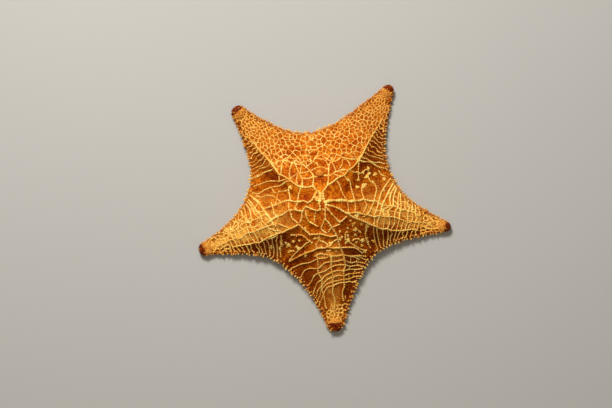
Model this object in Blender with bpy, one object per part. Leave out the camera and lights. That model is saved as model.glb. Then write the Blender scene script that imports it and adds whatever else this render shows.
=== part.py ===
"""Cushion sea star, life size, resting on the floor.

The animal is a high, swollen disc that runs out into five tapering arms. It is modelled whole as
one plan outline and one height over it, and parted by thin cuts into the disc, the arms and their
end plates. The sieve plate, the jaws and the eyespots are pieces of their own. The spines belong
to the plates that they grow from, so they are drawn out of the disc's and the arms' faces.

Lengths are in millimetres until a mesh is made. +Z is up and the underside lies at z = 0.
"""
import math
from dataclasses import dataclass

import bmesh
import bpy
import numpy as np

MM = 0.001
GAP = 0.3                     # clear space between neighbouring pieces

# The point over the mouth, seen from above; the origin is the middle of the animal's box.
HUB = np.array([-2.84, 4.61])

# Plan outline
TIP_HALF_WIDTH = 4.4          # half-width that the arm's straight flanks reach at its end
TAPER = 0.358                 # growth of the half-width for each millimetre away from the tip
MARGIN_INSET = 1.3            # the wall stands back so that its spines reach the outline
WEB = 1.85                    # how sharply two arms meet: a lower number fills the angle more
TIP_ROUNDING = 7.0            # length of the arm's rounded end
TIP_SPREAD = 14.0             # over this length an arm's extra width at its end fades away
BACK_WEIGHT = 6.0             # how fast an arm's influence dies behind the hub

# Heights
HUB_HEIGHT = 56.0
TIP_THICKNESS = 8.5
CREST_END = 0.86              # fraction of the length where the crest stops falling
DOME_ROUNDNESS = 1.8
DOME_FALL = 1.6
WALL_HEIGHT_WEB = 12.0        # margin wall in the angle between two arms
WALL_HEIGHT_TIP = 5.5
WALL_FALL_START = 0.56        # fraction of the length where the wall begins to get lower
TIP_LIFT = 4.0                # the arm's end is carried clear of the ground
TIP_LIFT_START = 0.86
SECTION_ROUNDNESS = (2.3, 2.2)  # of an arm's cross-section, at its root and at its tip
SECTION_SPAN = (0.3, 0.9)     # fractions of the length between which it changes
SECTION_FALL = 0.92
RIDGE_LIFT = 1.3              # the rows of keel plates stand proud of the skin
RIDGE_RISE = 3.0              # they rise out of the hub over a third of the disc

# Underside
WALL_BULGE = 0.8
WALL_TUCK = 1.2
UNDERSIDE_INSET = 5.0         # from the wall to the flat that rests on the ground
GROOVE_HALF_WIDTH = 3.6
GROOVE_CEILING_HALF_WIDTH = 1.7
GROOVE_DEPTH = 5.0            # at the arm's root
GROOVE_TIP_DEPTH = 2.5
GROOVE_CROWN = 0.5            # rise of the ceiling along the groove's middle
MOUTH_RADIUS = 9.0
MOUTH_DEPTH = 8.0
MOUTH_WALL_TOP = 6.5
MOUTH_WALL_BATTER = 0.4

# Cuts
WEB_STRIP = 2.4               # half of the disc's own margin in each angle, along the arm
TIP_PLATE_LENGTH = 7.0
ARM_STATIONS = 14
DISC_RINGS = (0.1, 0.25, 0.42, 0.58, 0.74, 0.88, 1.0)

# Keel rows, as fractions of the half-width
KEEL_HALF = 0.06
SHOULDER_ROOT = 0.37          # the shoulder ridge at the arm's root
SHOULDER_TIP = 0.70           # and at its tip
SHOULDER_SPREAD = 1.8
SHOULDER_HALF = 0.05

# Spines
MARGIN_SPINE = 3.0
MARGIN_SPINE_FALL = 0.35      # part of their height that they lose towards the tip
KEEL_SPINE_ROOT = 2.4
KEEL_SPINE_TIP = 1.2
SPINE_INSET = 0.24            # border left on a plate round its spine, to the plate's size

# Sieve plate
SIEVE_AT = np.array([-2.5, 29.5])  # from the hub
SIEVE_RADII = (4.2, 3.2)
SIEVE_SOCKET_DEPTH = 1.5
SIEVE_PROFILE = ((1.0, -SIEVE_SOCKET_DEPTH), (1.0, 0.7), (0.8, 1.3), (0.45, 1.6))  # (scale, height)
SIEVE_CROWN = 1.7
SIEVE_CUT_ABOVE = 10.0
SIEVE_SIDES = 24

# Jaws: (distance from the mouth's centre, half-width, height)
JAW_SECTIONS = ((8.1, 2.5, 4.6), (6.4, 2.2, 4.9), (4.6, 1.6, 4.4), (3.0, 0.7, 3.2))
JAW_FLOOR = 0.4
JAW_SIDES = 8

# Eyespots
EYE_RADIUS = 1.7
EYE_FLATTENING = 0.4
EYE_FROM_TIP = 4.0
EYE_SEGMENTS = 10
EYE_RINGS = 4


@dataclass(frozen=True)
class Arm:
    """One arm's place in plan. Headings are in degrees from +X, lengths in millimetres."""

    number: int
    heading: float
    reach: float
    sweep: float              # sideways drift of the tip, to the left of the heading
    girth: float
    blunt: float              # extra half-width at the arm's end

    @property
    def ahead(self):
        """Unit vector from the hub along the heading."""
        return np.array([math.cos(math.radians(self.heading)), math.sin(math.radians(self.heading))])

    @property
    def left(self):
        """Unit vector to the left of the heading."""
        return np.array([-self.ahead[1], self.ahead[0]])

    def axis(self, along):
        """Point on the arm's curved midline."""
        drift = self.sweep * np.clip(along / self.reach, 0, 1) ** 2
        return HUB + along * self.ahead + drift * self.left

    def field(self, points):
        """0 on the midline, 1 on this arm's own edge."""
        offset = points - HUB
        along = offset @ self.ahead
        across = offset @ self.left - self.sweep * np.clip(along / self.reach, 0, 1) ** 2
        from_tip = np.maximum(self.reach - along, 0)
        blunt = self.blunt * np.exp(-from_tip / TIP_SPREAD)
        half = self.girth * (TIP_HALF_WIDTH + blunt + TAPER * from_tip) - MARGIN_INSET
        behind = np.minimum(along, 0)
        past = np.maximum(along - (self.reach - TIP_ROUNDING), 0) / TIP_ROUNDING
        return (across ** 2 + BACK_WEIGHT * behind ** 2) / half ** 2 + past ** 2


ARMS = (
    Arm(1, heading=62.0, reach=136.8, sweep=-6.0, girth=0.99, blunt=1.0),
    Arm(2, heading=135.0, reach=130.0, sweep=-6.0, girth=0.99, blunt=3.0),
    Arm(3, heading=204.2, reach=131.3, sweep=-7.0, girth=0.935, blunt=2.5),
    Arm(4, heading=279.8, reach=128.5, sweep=-7.5, girth=1.19, blunt=2.3),
    Arm(5, heading=346.8, reach=131.0, sweep=6.5, girth=0.99, blunt=0.5),
)

FINISHES = {
    "skin": ((0.62, 0.20, 0.03, 1.0), 0.55),
    "tip": ((0.25, 0.02, 0.01, 1.0), 0.45),
    "plate": ((0.80, 0.55, 0.25, 1.0), 0.60),
    "mouth": ((0.85, 0.68, 0.42, 1.0), 0.55),
    "eye": ((0.45, 0.02, 0.01, 1.0), 0.30),
}


# ---------------------------------------------------------------- the body's form

def arm_weights(points):
    """How strongly each arm is felt at a point, one row for each arm."""
    return np.array([(arm.field(points) + 1e-4) ** -WEB for arm in ARMS])


def plan_field(points):
    """0 on the midlines and 1 on the body's edge: the arms' fields joined with a soft web."""
    return arm_weights(points).sum(axis=0) ** (-1 / WEB)


def smooth(value):
    """Soft step from 0 to 1."""
    value = np.clip(value, 0, 1)
    return value * value * (3 - 2 * value)


def length_fraction(points):
    """Distance from the hub as a part of the nearest arms' length."""
    weights = arm_weights(points)
    reaches = np.array([arm.reach for arm in ARMS])
    reach = np.tensordot(reaches, weights, axes=1) / weights.sum(axis=0)
    return np.linalg.norm(points - HUB, axis=-1) / reach


def tip_lift(points):
    """How far the body is carried off the ground near an arm's end."""
    part = (length_fraction(points) - TIP_LIFT_START) / (1 - TIP_LIFT_START)
    return TIP_LIFT * np.clip(part, 0, 1) ** 2


def wall_height(points):
    """Height of the margin wall above the underside."""
    part = np.clip((1 - length_fraction(points)) / (1 - WALL_FALL_START), 0, 1)
    return WALL_HEIGHT_TIP + (WALL_HEIGHT_WEB - WALL_HEIGHT_TIP) * part


def crest_height(points):
    """Height of the body over an arm's midline."""
    part = np.clip(length_fraction(points) / CREST_END, 0, 1)
    return TIP_THICKNESS + (HUB_HEIGHT - TIP_THICKNESS) * (1 - part ** DOME_ROUNDNESS) ** DOME_FALL


def top_height(points):
    """The upper surface: from the crest it falls in a rounded shoulder to the margin wall."""
    edge = np.sqrt(np.clip(plan_field(points), 0, 1))
    root, tip = SECTION_ROUNDNESS
    start, end = SECTION_SPAN
    roundness = root + (tip - root) * smooth((length_fraction(points) - start) / (end - start))
    fall = (1 - edge ** roundness) ** SECTION_FALL
    wall = wall_height(points)
    crest = np.maximum(crest_height(points), wall)
    return wall + (crest - wall) * fall + tip_lift(points)


def edge_from(start, direction, reach=70.0):
    """First point on the body's edge along a direction, narrowed down by halving."""
    steps = np.linspace(0, reach, 141)
    outside = plan_field(start + steps[:, None] * direction) > 1
    first = int(np.argmax(outside))
    low, high = steps[first - 1], steps[first]
    for _ in range(30):
        middle = (low + high) / 2
        if plan_field(start + middle * direction) > 1:
            high = middle
        else:
            low = middle
    return start + low * direction


def web_point(right_arm, left_arm):
    """Deepest point of the angle between two neighbouring arms."""
    turn = (left_arm.heading - right_arm.heading) % 360
    turns = np.radians(right_arm.heading + turn * np.linspace(0.25, 0.75, 61))
    rays = np.stack([np.cos(turns), np.sin(turns)], axis=1)
    points = np.array([edge_from(HUB, ray, 110.0) for ray in rays])
    return points[np.argmin(np.linalg.norm(points - HUB, axis=1))]


# ---------------------------------------------------------------- cross-sections

@dataclass
class Station:
    """A cut across an arm, from its right edge over its midline to its left edge."""

    arm: Arm
    part: float               # 0 at the arm's root, 1 where the end plate begins
    centre: np.ndarray
    right: np.ndarray
    left: np.ndarray


class ArmLayout:
    """Where one arm starts and ends, and the stations between."""

    def __init__(self, arm, web_right, web_left):
        self.arm = arm
        self.end = arm.reach - TIP_PLATE_LENGTH
        self.right_start = float((web_right - HUB) @ arm.ahead) + WEB_STRIP
        self.left_start = float((web_left - HUB) @ arm.ahead) + WEB_STRIP
        right = self.edge(self.right_start, -1)
        left = self.edge(self.left_start, 1)
        self.centre_start = self.crossing(right, left)

    def edge(self, along, side):
        """The body's edge beside the midline; side is 1 for left and -1 for right."""
        return edge_from(self.arm.axis(along), side * self.arm.left)

    def crossing(self, right, left):
        """How far along the midline the straight line between two edge points crosses it."""
        line = left - right
        low, high = 20.0, 100.0
        for _ in range(40):
            middle = (low + high) / 2
            offset = self.arm.axis(middle) - right
            if line[0] * offset[1] - line[1] * offset[0] < 0:
                high = middle
            else:
                low = middle
        return low

    def station(self, part):
        """The cut at a fraction of the way from the root to the end plate."""
        def along(start):
            return start + (self.end - start) * part

        return Station(
            self.arm, part, self.arm.axis(along(self.centre_start)),
            self.edge(along(self.right_start), -1), self.edge(along(self.left_start), 1))

    def tip_station(self, along):
        """A square cut through the end plate."""
        return Station(self.arm, 1.0, self.arm.axis(along), self.edge(along, -1), self.edge(along, 1))


def top_columns(part):
    """Places of the lengthwise lines over one side, as fractions of the half-width, and their lift."""
    shoulder = SHOULDER_ROOT + (SHOULDER_TIP - SHOULDER_ROOT) * (1 - (1 - part) ** SHOULDER_SPREAD)
    inner = shoulder - SHOULDER_HALF
    outer = shoulder + SHOULDER_HALF
    flank = 1 - outer
    places = np.array([
        KEEL_HALF, (KEEL_HALF + inner) / 2, inner, outer, outer + 0.4 * flank, outer + 0.75 * flank, 1])
    ridge = RIDGE_LIFT * (1 - 0.5 * part)
    lifts = ridge * np.array([1, 0, 1, 1, 0, 0, 0])
    return places, lifts


COLUMNS = 14                  # lengthwise lines over the top, edge to edge
KEEL_BAND = 6                 # each band lies between this line and the next
SHOULDER_BANDS = (3, 9)
TOP_LEFT = COLUMNS - 1


def wall_chain(edge, outward, inset, lift):
    """Points down the margin wall: its bulge, its foot and the edge of the flat underside."""
    wall = float(wall_height(edge))
    bulge = edge + WALL_BULGE * outward
    foot = edge - WALL_TUCK * outward
    flat = edge - inset * outward
    return [
        (*bulge, 0.5 * wall + lift),
        (*foot, 0.12 * wall + lift),
        (*flat, lift),
    ]


def side_chain(station, edge):
    """Wall and underside of one side, from the margin to the groove's ceiling."""
    span = edge - station.centre
    width = float(np.linalg.norm(span))
    outward = span / width
    lift = float(tip_lift(station.centre))
    inset = min(UNDERSIDE_INSET, 0.34 * width)
    lip = min(GROOVE_HALF_WIDTH, 0.38 * width)
    ceiling = min(GROOVE_CEILING_HALF_WIDTH, 0.2 * width)
    chain = wall_chain(edge, outward, inset, lift)
    middle = station.centre + outward * (width - inset + lip) / 2
    chain.append((*middle, lift))
    chain.append((*(station.centre + lip * outward), lift))
    chain.append((*(station.centre + ceiling * outward), lift + groove_depth(station.part)))
    return chain


def groove_depth(part):
    """Depth of the tube feet's groove at a fraction of the way along an arm."""
    return GROOVE_DEPTH + (GROOVE_TIP_DEPTH - GROOVE_DEPTH) * part


def section(station, grooved=True):
    """Closed ring of points round a station: over the top from right to left, then back below."""
    places, lifts = top_columns(station.part)
    right = [station.centre + place * (station.right - station.centre) for place in places[::-1]]
    left = [station.centre + place * (station.left - station.centre) for place in places]
    plan = np.array(right + left)
    height = top_height(plan) + np.concatenate([lifts[::-1], lifts])
    ring = [(*point, z) for point, z in zip(plan, height)]
    left_side = side_chain(station, station.left)
    right_side = side_chain(station, station.right)
    if not grooved:
        return ring + left_side[:3] + right_side[:3][::-1]
    lift = float(tip_lift(station.centre))
    crown = (*station.centre, lift + groove_depth(station.part) + GROOVE_CROWN)
    return ring + left_side + [crown] + right_side[::-1]


# ---------------------------------------------------------------- meshes

def new_object(name, mesh_data, finish):
    """Link a finished bmesh into the scene under its node's name."""
    bmesh.ops.recalc_face_normals(mesh_data, faces=mesh_data.faces)
    bmesh.ops.triangulate(mesh_data, faces=mesh_data.faces)
    bmesh.ops.scale(mesh_data, verts=mesh_data.verts, vec=(MM, MM, MM))
    mesh = bpy.data.meshes.new(name)
    mesh_data.to_mesh(mesh)
    mesh_data.free()
    mesh.shade_smooth()
    mesh.set_sharp_from_angle(angle=math.radians(40))
    thing = bpy.data.objects.new(name, mesh)
    bpy.context.collection.objects.link(thing)
    mesh.materials.append(material(finish))
    return thing


def material(finish):
    """The named finish, made once."""
    found = bpy.data.materials.get(finish)
    if found:
        return found
    colour, roughness = FINISHES[finish]
    made = bpy.data.materials.new(finish)
    made.use_nodes = True
    shader = made.node_tree.nodes["Principled BSDF"]
    shader.inputs["Base Color"].default_value = colour
    shader.inputs["Roughness"].default_value = roughness
    shader.inputs["Metallic"].default_value = 0.0
    return made


def add_ring(shape, points):
    """A list of vertices in the mesh."""
    return [shape.verts.new(point) for point in points]


def bridge(shape, lower, upper):
    """Quads between two closed rings of equal length, returned in the rings' order."""
    count = len(lower)
    return [
        shape.faces.new((lower[k], lower[(k + 1) % count], upper[(k + 1) % count], upper[k]))
        for k in range(count)]


def grow_spines(shape, faces, height):
    """Draw a pointed spine out of each plate: a smaller face inside it, raised to a point."""
    for face in faces:
        size = SPINE_INSET * math.sqrt(face.calc_area())
        bmesh.ops.inset_individual(shape, faces=[face], thickness=size)
    bmesh.ops.poke(shape, faces=faces, offset=height)


def build_arm(layout):
    """An arm between its root cut and its end plate, with rows of spined plates."""
    length = layout.end - layout.centre_start
    first = GAP / length
    parts = [first + (1 - first) * k / ARM_STATIONS for k in range(ARM_STATIONS + 1)]
    shape = bmesh.new()
    rings = [add_ring(shape, section(layout.station(part))) for part in parts]
    cells = [bridge(shape, a, b) for a, b in zip(rings, rings[1:])]
    shape.faces.new(rings[0][::-1])
    shape.faces.new(rings[-1])
    bmesh.ops.recalc_face_normals(shape, faces=shape.faces)
    for number, row in enumerate(cells):
        part = parts[number]
        keel_height = KEEL_SPINE_ROOT + (KEEL_SPINE_TIP - KEEL_SPINE_ROOT) * part
        grow_spines(shape, [row[TOP_LEFT], row[-1]], MARGIN_SPINE * (1 - MARGIN_SPINE_FALL * part))
        if number % 2 == 0:
            grow_spines(shape, [row[KEEL_BAND]], keel_height)
        else:
            grow_spines(shape, [row[band] for band in SHOULDER_BANDS], keel_height)
    return new_object(f"arm_{layout.arm.number}", shape, "skin")


def build_tip(layout):
    """The blunt plate that ends an arm, rounded in plan and turned up a little."""
    reach = layout.arm.reach
    places = [layout.end + GAP, reach - 5.2, reach - 3.4, reach - 1.8, reach - 0.6]
    shape = bmesh.new()
    rings = [add_ring(shape, section(layout.tip_station(place), grooved=False)) for place in places]
    for a, b in zip(rings, rings[1:]):
        bridge(shape, a, b)
    shape.faces.new(rings[0][::-1])
    end_point = layout.arm.axis(reach)
    end = shape.verts.new((*end_point, float(tip_lift(end_point)) + 0.5 * WALL_HEIGHT_TIP))
    last = rings[-1]
    for k, vertex in enumerate(last):
        shape.faces.new((vertex, last[(k + 1) % len(last)], end))
    return new_object(f"tip_{layout.arm.number}", shape, "tip")


def build_eyespot(layout):
    """The small red cushion under the arm's end, where the animal senses light."""
    place = layout.arm.axis(layout.arm.reach - EYE_FROM_TIP)
    shape = bmesh.new()
    bmesh.ops.create_uvsphere(shape, u_segments=EYE_SEGMENTS, v_segments=EYE_RINGS, radius=EYE_RADIUS)
    bmesh.ops.scale(shape, verts=shape.verts, vec=(1, 1, EYE_FLATTENING))
    ceiling = float(tip_lift(place)) - GAP
    height = ceiling - EYE_RADIUS * EYE_FLATTENING
    bmesh.ops.translate(shape, verts=shape.verts, vec=(*place, height))
    return new_object(f"eyespot_{layout.arm.number}", shape, "eye")


def build_disc(layouts, webs):
    """The body's middle: a domed top, five cuts, five short margins and an underside with a mouth."""
    shape = bmesh.new()
    sections = [add_ring(shape, section(layout.station(0.0))) for layout in layouts]
    web_chains = []
    for web in webs:
        outward = (web - HUB) / np.linalg.norm(web - HUB)
        points = [(*web, float(top_height(web)))] + wall_chain(web, outward, UNDERSIDE_INSET, 0.0)
        web_chains.append(add_ring(shape, points))

    rim = []
    for ring, chain in zip(sections, web_chains):
        rim += ring[:COLUMNS] + [chain[0]]
    side = top_columns(0.0)[1]
    lifts = np.array([*side[::-1], *side, 0.0] * len(layouts))
    outline = np.array([vertex.co[:2] for vertex in rim])
    rings = []
    for fraction in DISC_RINGS[:-1]:
        plan = HUB + fraction * (outline - HUB)
        height = top_height(plan) + lifts * min(1.0, fraction * RIDGE_RISE)
        rings.append(add_ring(shape, [(*point, z) for point, z in zip(plan, height)]))
    rings.append(rim)
    cells = [bridge(shape, a, b) for a, b in zip(rings, rings[1:])]
    close_with_point(shape, rings[0], (*HUB, HUB_HEIGHT))

    for index, ring in enumerate(sections):
        shape.faces.new(ring)
        following = sections[(index + 1) % len(sections)]
        left_wall = ring[TOP_LEFT:TOP_LEFT + 4]
        right_wall = [following[0], following[-1], following[-2], following[-3]]
        for a, b in ((left_wall, web_chains[index]), (web_chains[index], right_wall)):
            for k in range(3):
                shape.faces.new((a[k], a[k + 1], b[k + 1], b[k]))
    build_underside(shape, layouts, sections, web_chains)

    bmesh.ops.recalc_face_normals(shape, faces=shape.faces)
    for number, row in enumerate(cells[1:]):
        bands = (KEEL_BAND,) if number % 2 else SHOULDER_BANDS
        plates = [row[(COLUMNS + 1) * sector + band] for sector in range(len(layouts)) for band in bands]
        grow_spines(shape, plates, KEEL_SPINE_ROOT)
    disc = new_object("disc", shape, "skin")
    cut_sieve_socket(disc)
    return disc


def close_with_point(shape, ring, point):
    """A fan of triangles from a ring to one point."""
    tip = shape.verts.new(point)
    for k, vertex in enumerate(ring):
        shape.faces.new((vertex, ring[(k + 1) % len(ring)], tip))


def build_underside(shape, layouts, sections, web_chains):
    """Flats and grooves that run from the disc's rim to the mouth, and the mouth's hollow."""
    lip_turn = math.degrees(math.asin(GROOVE_HALF_WIDTH / MOUTH_RADIUS))
    ceiling_turn = math.degrees(math.asin(GROOVE_CEILING_HALF_WIDTH / MOUTH_RADIUS))
    outer = []
    rim_turns = []
    for layout, ring, chain in zip(layouts, sections, web_chains):
        below = ring[TOP_LEFT + 3:-2][::-1]
        heading = layout.arm.heading
        web_left = chain[3]
        offset = np.array(web_left.co[:2]) - HUB
        web_turn = math.degrees(math.atan2(offset[1], offset[0]))
        half = (web_turn - heading) % 360
        turns = [lip_turn + (half - lip_turn) * part for part in (0.7, 0.35)]
        outer += below + [web_left]
        rim_turns += [heading - turn for turn in turns]
        rim_turns += [heading - lip_turn, heading - ceiling_turn, heading, heading + ceiling_turn]
        rim_turns += [heading + lip_turn] + [heading + turn for turn in turns[::-1]]
        rim_turns += [heading + half]
    crown = GROOVE_DEPTH + GROOVE_CROWN
    heights = [0, 0, 0, GROOVE_DEPTH, crown, GROOVE_DEPTH, 0, 0, 0, 0] * len(layouts)
    angles = np.radians(rim_turns)
    rays = np.stack([np.cos(angles), np.sin(angles)], axis=1)
    rim = [(*(HUB + MOUTH_RADIUS * ray), z) for ray, z in zip(rays, heights)]
    wall = [(*(HUB + (MOUTH_RADIUS - MOUTH_WALL_BATTER) * ray), MOUTH_WALL_TOP) for ray in rays]
    half_way = [
        tuple((np.array(vertex.co) + np.array(point)) / 2) for vertex, point in zip(outer, rim)]
    inner = [outer, add_ring(shape, half_way), add_ring(shape, rim), add_ring(shape, wall)]
    for a, b in zip(inner, inner[1:]):
        bridge(shape, a, b)
    close_with_point(shape, inner[-1], (*HUB, MOUTH_DEPTH))


def sieve_height():
    """Height of the body's surface under the sieve plate."""
    return float(top_height(HUB + SIEVE_AT))


def oval(scale, growth, height):
    """A level oval round the sieve plate's centre."""
    turns = np.linspace(0, 2 * math.pi, SIEVE_SIDES, endpoint=False)
    wide, long = (scale * radius + growth for radius in SIEVE_RADII)
    centre = HUB + SIEVE_AT
    return [(centre[0] + wide * math.cos(turn), centre[1] + long * math.sin(turn), height) for turn in turns]


def cut_sieve_socket(disc):
    """Sink the socket that holds the sieve plate into the disc's back."""
    height = sieve_height()
    shape = bmesh.new()
    lower = add_ring(shape, oval(1, GAP, height - SIEVE_SOCKET_DEPTH - GAP))
    upper = add_ring(shape, oval(1, GAP, height + SIEVE_CUT_ABOVE))
    bridge(shape, lower, upper)
    shape.faces.new(lower[::-1])
    shape.faces.new(upper)
    cutter = new_object("sieve_socket_cutter", shape, "plate")
    cutter.hide_render = True
    cutter.display_type = "WIRE"
    cut = disc.modifiers.new("sieve_socket", "BOOLEAN")
    cut.operation = "DIFFERENCE"
    cut.solver = "EXACT"
    cut.object = cutter


def build_sieve_plate():
    """The madreporite: a low crowned oval button in its socket."""
    height = sieve_height()
    shape = bmesh.new()
    rings = [add_ring(shape, oval(scale, 0, height + level)) for scale, level in SIEVE_PROFILE]
    for a, b in zip(rings, rings[1:]):
        bridge(shape, a, b)
    shape.faces.new(rings[0][::-1])
    close_with_point(shape, rings[-1], (*(HUB + SIEVE_AT), height + SIEVE_CROWN))
    return new_object("madreporite", shape, "plate")


def build_jaw(number, web):
    """One of the five wedges that point into the mouth from the angles between the arms."""
    outward = (web - HUB) / np.linalg.norm(web - HUB)
    side = np.array([-outward[1], outward[0]])
    shape = bmesh.new()
    rings = []
    for distance, half_width, height in JAW_SECTIONS:
        turns = np.linspace(0, 2 * math.pi, JAW_SIDES, endpoint=False) + math.pi / JAW_SIDES
        across = half_width * np.cos(turns) / math.cos(math.pi / JAW_SIDES)
        up = JAW_FLOOR + height * (0.5 + 0.5 * np.sin(turns) / math.cos(math.pi / JAW_SIDES))
        plan = HUB + distance * outward + across[:, None] * side
        rings.append(add_ring(shape, [(*point, z) for point, z in zip(plan, up)]))
    for a, b in zip(rings, rings[1:]):
        bridge(shape, a, b)
    shape.faces.new(rings[0][::-1])
    shape.faces.new(rings[-1])
    return new_object(f"jaw_{number}", shape, "mouth")


def clear_scene():
    """Remove whatever the opened file holds."""
    for thing in list(bpy.data.objects):
        bpy.data.objects.remove(thing, do_unlink=True)


def build_sea_star():
    """The whole animal, piece by piece."""
    clear_scene()
    following = ARMS[1:] + ARMS[:1]
    webs = [web_point(right, left) for right, left in zip(ARMS, following)]
    layouts = [ArmLayout(arm, webs[index - 1], webs[index]) for index, arm in enumerate(ARMS)]
    build_disc(layouts, webs)
    build_sieve_plate()
    for layout in layouts:
        build_arm(layout)
        build_tip(layout)
        build_eyespot(layout)
    for number, web in enumerate(webs, start=1):
        build_jaw(number, web)


build_sea_star()
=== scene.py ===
"""Looks of a cushion sea star: its skin, net of raised plates, spines, granules and underside.

One soft skin covers the disc and the arms. On it stands the coat: bars of joined plates that make a
net, blunt tubercles where the bars meet, a fringe of spines round the margin, small soft papillae
in the net's openings, and the tube feet and spines of the underside.

Shapes are worked out in millimetres from the hub, the point over the mouth, and turned to metres
when a mesh is made. +Z is up, and the floor is z = 0. A plan point is a place seen from above. Two
values say where it lies on the body: its edge value, 0 on the arms' midlines and 1 on the outline,
and its fraction, the distance from the hub as a part of the nearest arm's length.
"""
import logging
import math
from dataclasses import dataclass, field
from enum import Enum

import bmesh
import bpy
import numpy as np
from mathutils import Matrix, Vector
from mathutils.geometry import delaunay_2d_cdt


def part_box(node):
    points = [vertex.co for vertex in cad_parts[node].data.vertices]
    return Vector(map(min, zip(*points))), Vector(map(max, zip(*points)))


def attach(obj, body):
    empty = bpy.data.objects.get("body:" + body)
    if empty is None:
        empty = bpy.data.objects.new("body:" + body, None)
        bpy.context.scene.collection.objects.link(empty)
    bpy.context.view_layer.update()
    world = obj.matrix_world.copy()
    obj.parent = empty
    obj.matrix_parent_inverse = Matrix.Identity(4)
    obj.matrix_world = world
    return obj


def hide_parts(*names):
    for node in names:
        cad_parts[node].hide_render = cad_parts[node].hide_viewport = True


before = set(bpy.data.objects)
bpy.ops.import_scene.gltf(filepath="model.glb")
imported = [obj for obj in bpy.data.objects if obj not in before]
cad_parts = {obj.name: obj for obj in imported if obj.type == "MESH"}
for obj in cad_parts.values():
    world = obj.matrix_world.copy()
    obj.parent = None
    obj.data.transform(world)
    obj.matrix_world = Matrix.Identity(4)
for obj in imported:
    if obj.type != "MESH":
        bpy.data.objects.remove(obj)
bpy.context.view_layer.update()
LOG = logging.getLogger("sea_star")

MM = 0.001
HUB = np.array([-2.84, 4.61, 0.0])   # the hub in the frame, whose origin is the box's middle
GOLDEN_TURN = math.pi * (3 - math.sqrt(5))   # spreads points evenly when each is turned by it
Array = np.ndarray
joined = np.concatenate
Material = bpy.types.Material
Socket = bpy.types.NodeSocket


# ---- small tools

def smooth(value: Array) -> Array:
    """Soft step from 0 to 1: three times the square less twice the cube."""
    value = np.clip(value, 0, 1)
    return value * value * (3 - 2 * value)


def ramp(value: Array, start: float, span: float) -> Array:
    """Soft step that is 0 up to the start and 1 a span later. A negative span turns it round."""
    return smooth((value - start) / span)


def unit(vectors: Array) -> Array:
    """The same directions at length 1."""
    return vectors / np.maximum(np.linalg.norm(vectors, axis=-1, keepdims=True), 1e-9)


def raised(points: Array, level: Array) -> Array:
    """Plan points with a height as their third number."""
    return joined([points, level[..., None]], axis=-1)


def shaken(draw: np.random.Generator, axes: Array, size: float | list[float]) -> Array:
    """Unit vectors near the axes, each thrown off by a bell-shaped random step of a size."""
    return unit(axes + draw.normal(size=axes.shape) * size)


# ---- the body's form

@dataclass(frozen=True)
class Arm:
    """One arm's place in plan. Headings are in degrees from +X, lengths in millimetres."""

    number: int
    heading: float
    reach: float
    sweep: float          # how far the arm's end lies off the heading, to the left
    girth: float
    blunt: float          # extra half-width at the arm's end
    links_right: float    # share of cross bars on the right flank
    links_left: float
    swept: float = 0.0    # extra lean of the right flank's rows to the arm's end
    gold: float = 0.0     # how golden the skin is on the arm's top; partly a painted highlight along the crest
    end_shade: float = 0.0      # painted shade: how much darker the plates get towards the arm's end
    red: float = 0.1      # where the end cap turns red, from -1 at its back to 1 at its front
    bare: float = 1.0     # the rows stop at this part of the arm's length
    ridge: float = 0.0    # how far the crest ridge lies off the midline, on the side with fewer links

    RIDGE_END = 8.0       # the ridge is back on the midline this far before the arm's end
    RIDGE_FADE = 22.0
    DARKEST = 0.3         # painted shade: loss of brightness of the plates at the end of the most shaded arm
    END_SHADE_FROM = 0.4
    END_SHADE_SPAN = 0.4

    @property
    def ahead(self) -> Array:
        """Unit vector from the hub along the heading."""
        return np.array([math.cos(math.radians(self.heading)), math.sin(math.radians(self.heading))])

    @property
    def left(self) -> Array:
        """Unit vector to the left of the heading."""
        return np.array([-self.ahead[1], self.ahead[0]])

    def ridge_at(self, along: Array) -> Array:
        """The ridge's distance from the midline, which shrinks near the arm's end."""
        to_end = self.reach - self.RIDGE_END - np.asarray(along, float)
        return self.ridge * np.clip(to_end / self.RIDGE_FADE, 0, 1)

    def shaded_towards_end(self, fraction: Array) -> Array:
        """Brightness of the plates at a part of the arm's length, with painted shade towards the arm's end.
        """
        return 1 - self.DARKEST * self.end_shade * ramp(fraction, self.END_SHADE_FROM, self.END_SHADE_SPAN)

    def axis(self, along: Array) -> Array:
        """Points on the curved midline: a straight ray plus a sideways drift that grows squared."""
        along = np.asarray(along, float)
        drift = self.sweep * np.clip(along / self.reach, 0, 1) ** 2
        return along[..., None] * self.ahead + drift[..., None] * self.left

    def end_heading(self, step: float) -> Array:
        """Unit vector along the midline's last few millimetres."""
        return unit(self.axis(np.array(self.reach)) - self.axis(np.array(self.reach - step)))

    def place(self, points: Array) -> tuple[Array, Array]:
        """Distance along the heading and signed distance to the left of the midline."""
        along = points @ self.ahead
        across = points @ self.left - self.sweep * np.clip(along / self.reach, 0, 1) ** 2
        return along, across


ARMS = (
    Arm(1, 62.0, reach=136.8, sweep=-6.0, girth=0.99, blunt=1.0, links_right=0.10, links_left=0.75,
        ridge=10.5, end_shade=1.0, red=0.1),
    Arm(2, 135.0, reach=130.0, sweep=-6.0, girth=0.99, blunt=3.0, links_right=0.75, links_left=0.10,
        ridge=9.0, end_shade=0.6, red=0.12),
    Arm(3, 204.2, reach=131.3, sweep=-7.0, girth=0.935, blunt=2.5, links_right=0.45, links_left=0.0,
        gold=1.0, end_shade=0.2, red=0.15),
    Arm(4, 279.8, reach=128.5, sweep=-7.5, girth=1.19, blunt=2.3, links_right=0.0, links_left=0.1,
        swept=0.3, gold=0.4, end_shade=0.35, bare=0.67, red=-0.3),
    Arm(5, 346.8, reach=131.0, sweep=6.5, girth=0.99, blunt=0.5, links_right=0.0, links_left=0.35,
        gold=0.95, end_shade=0.1, red=0.15),
)


def arm_under(point: Array) -> Arm:
    """The arm that a plan point lies on, by its direction from the hub."""
    return max(ARMS, key=lambda arm: float(point @ arm.ahead))


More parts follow.
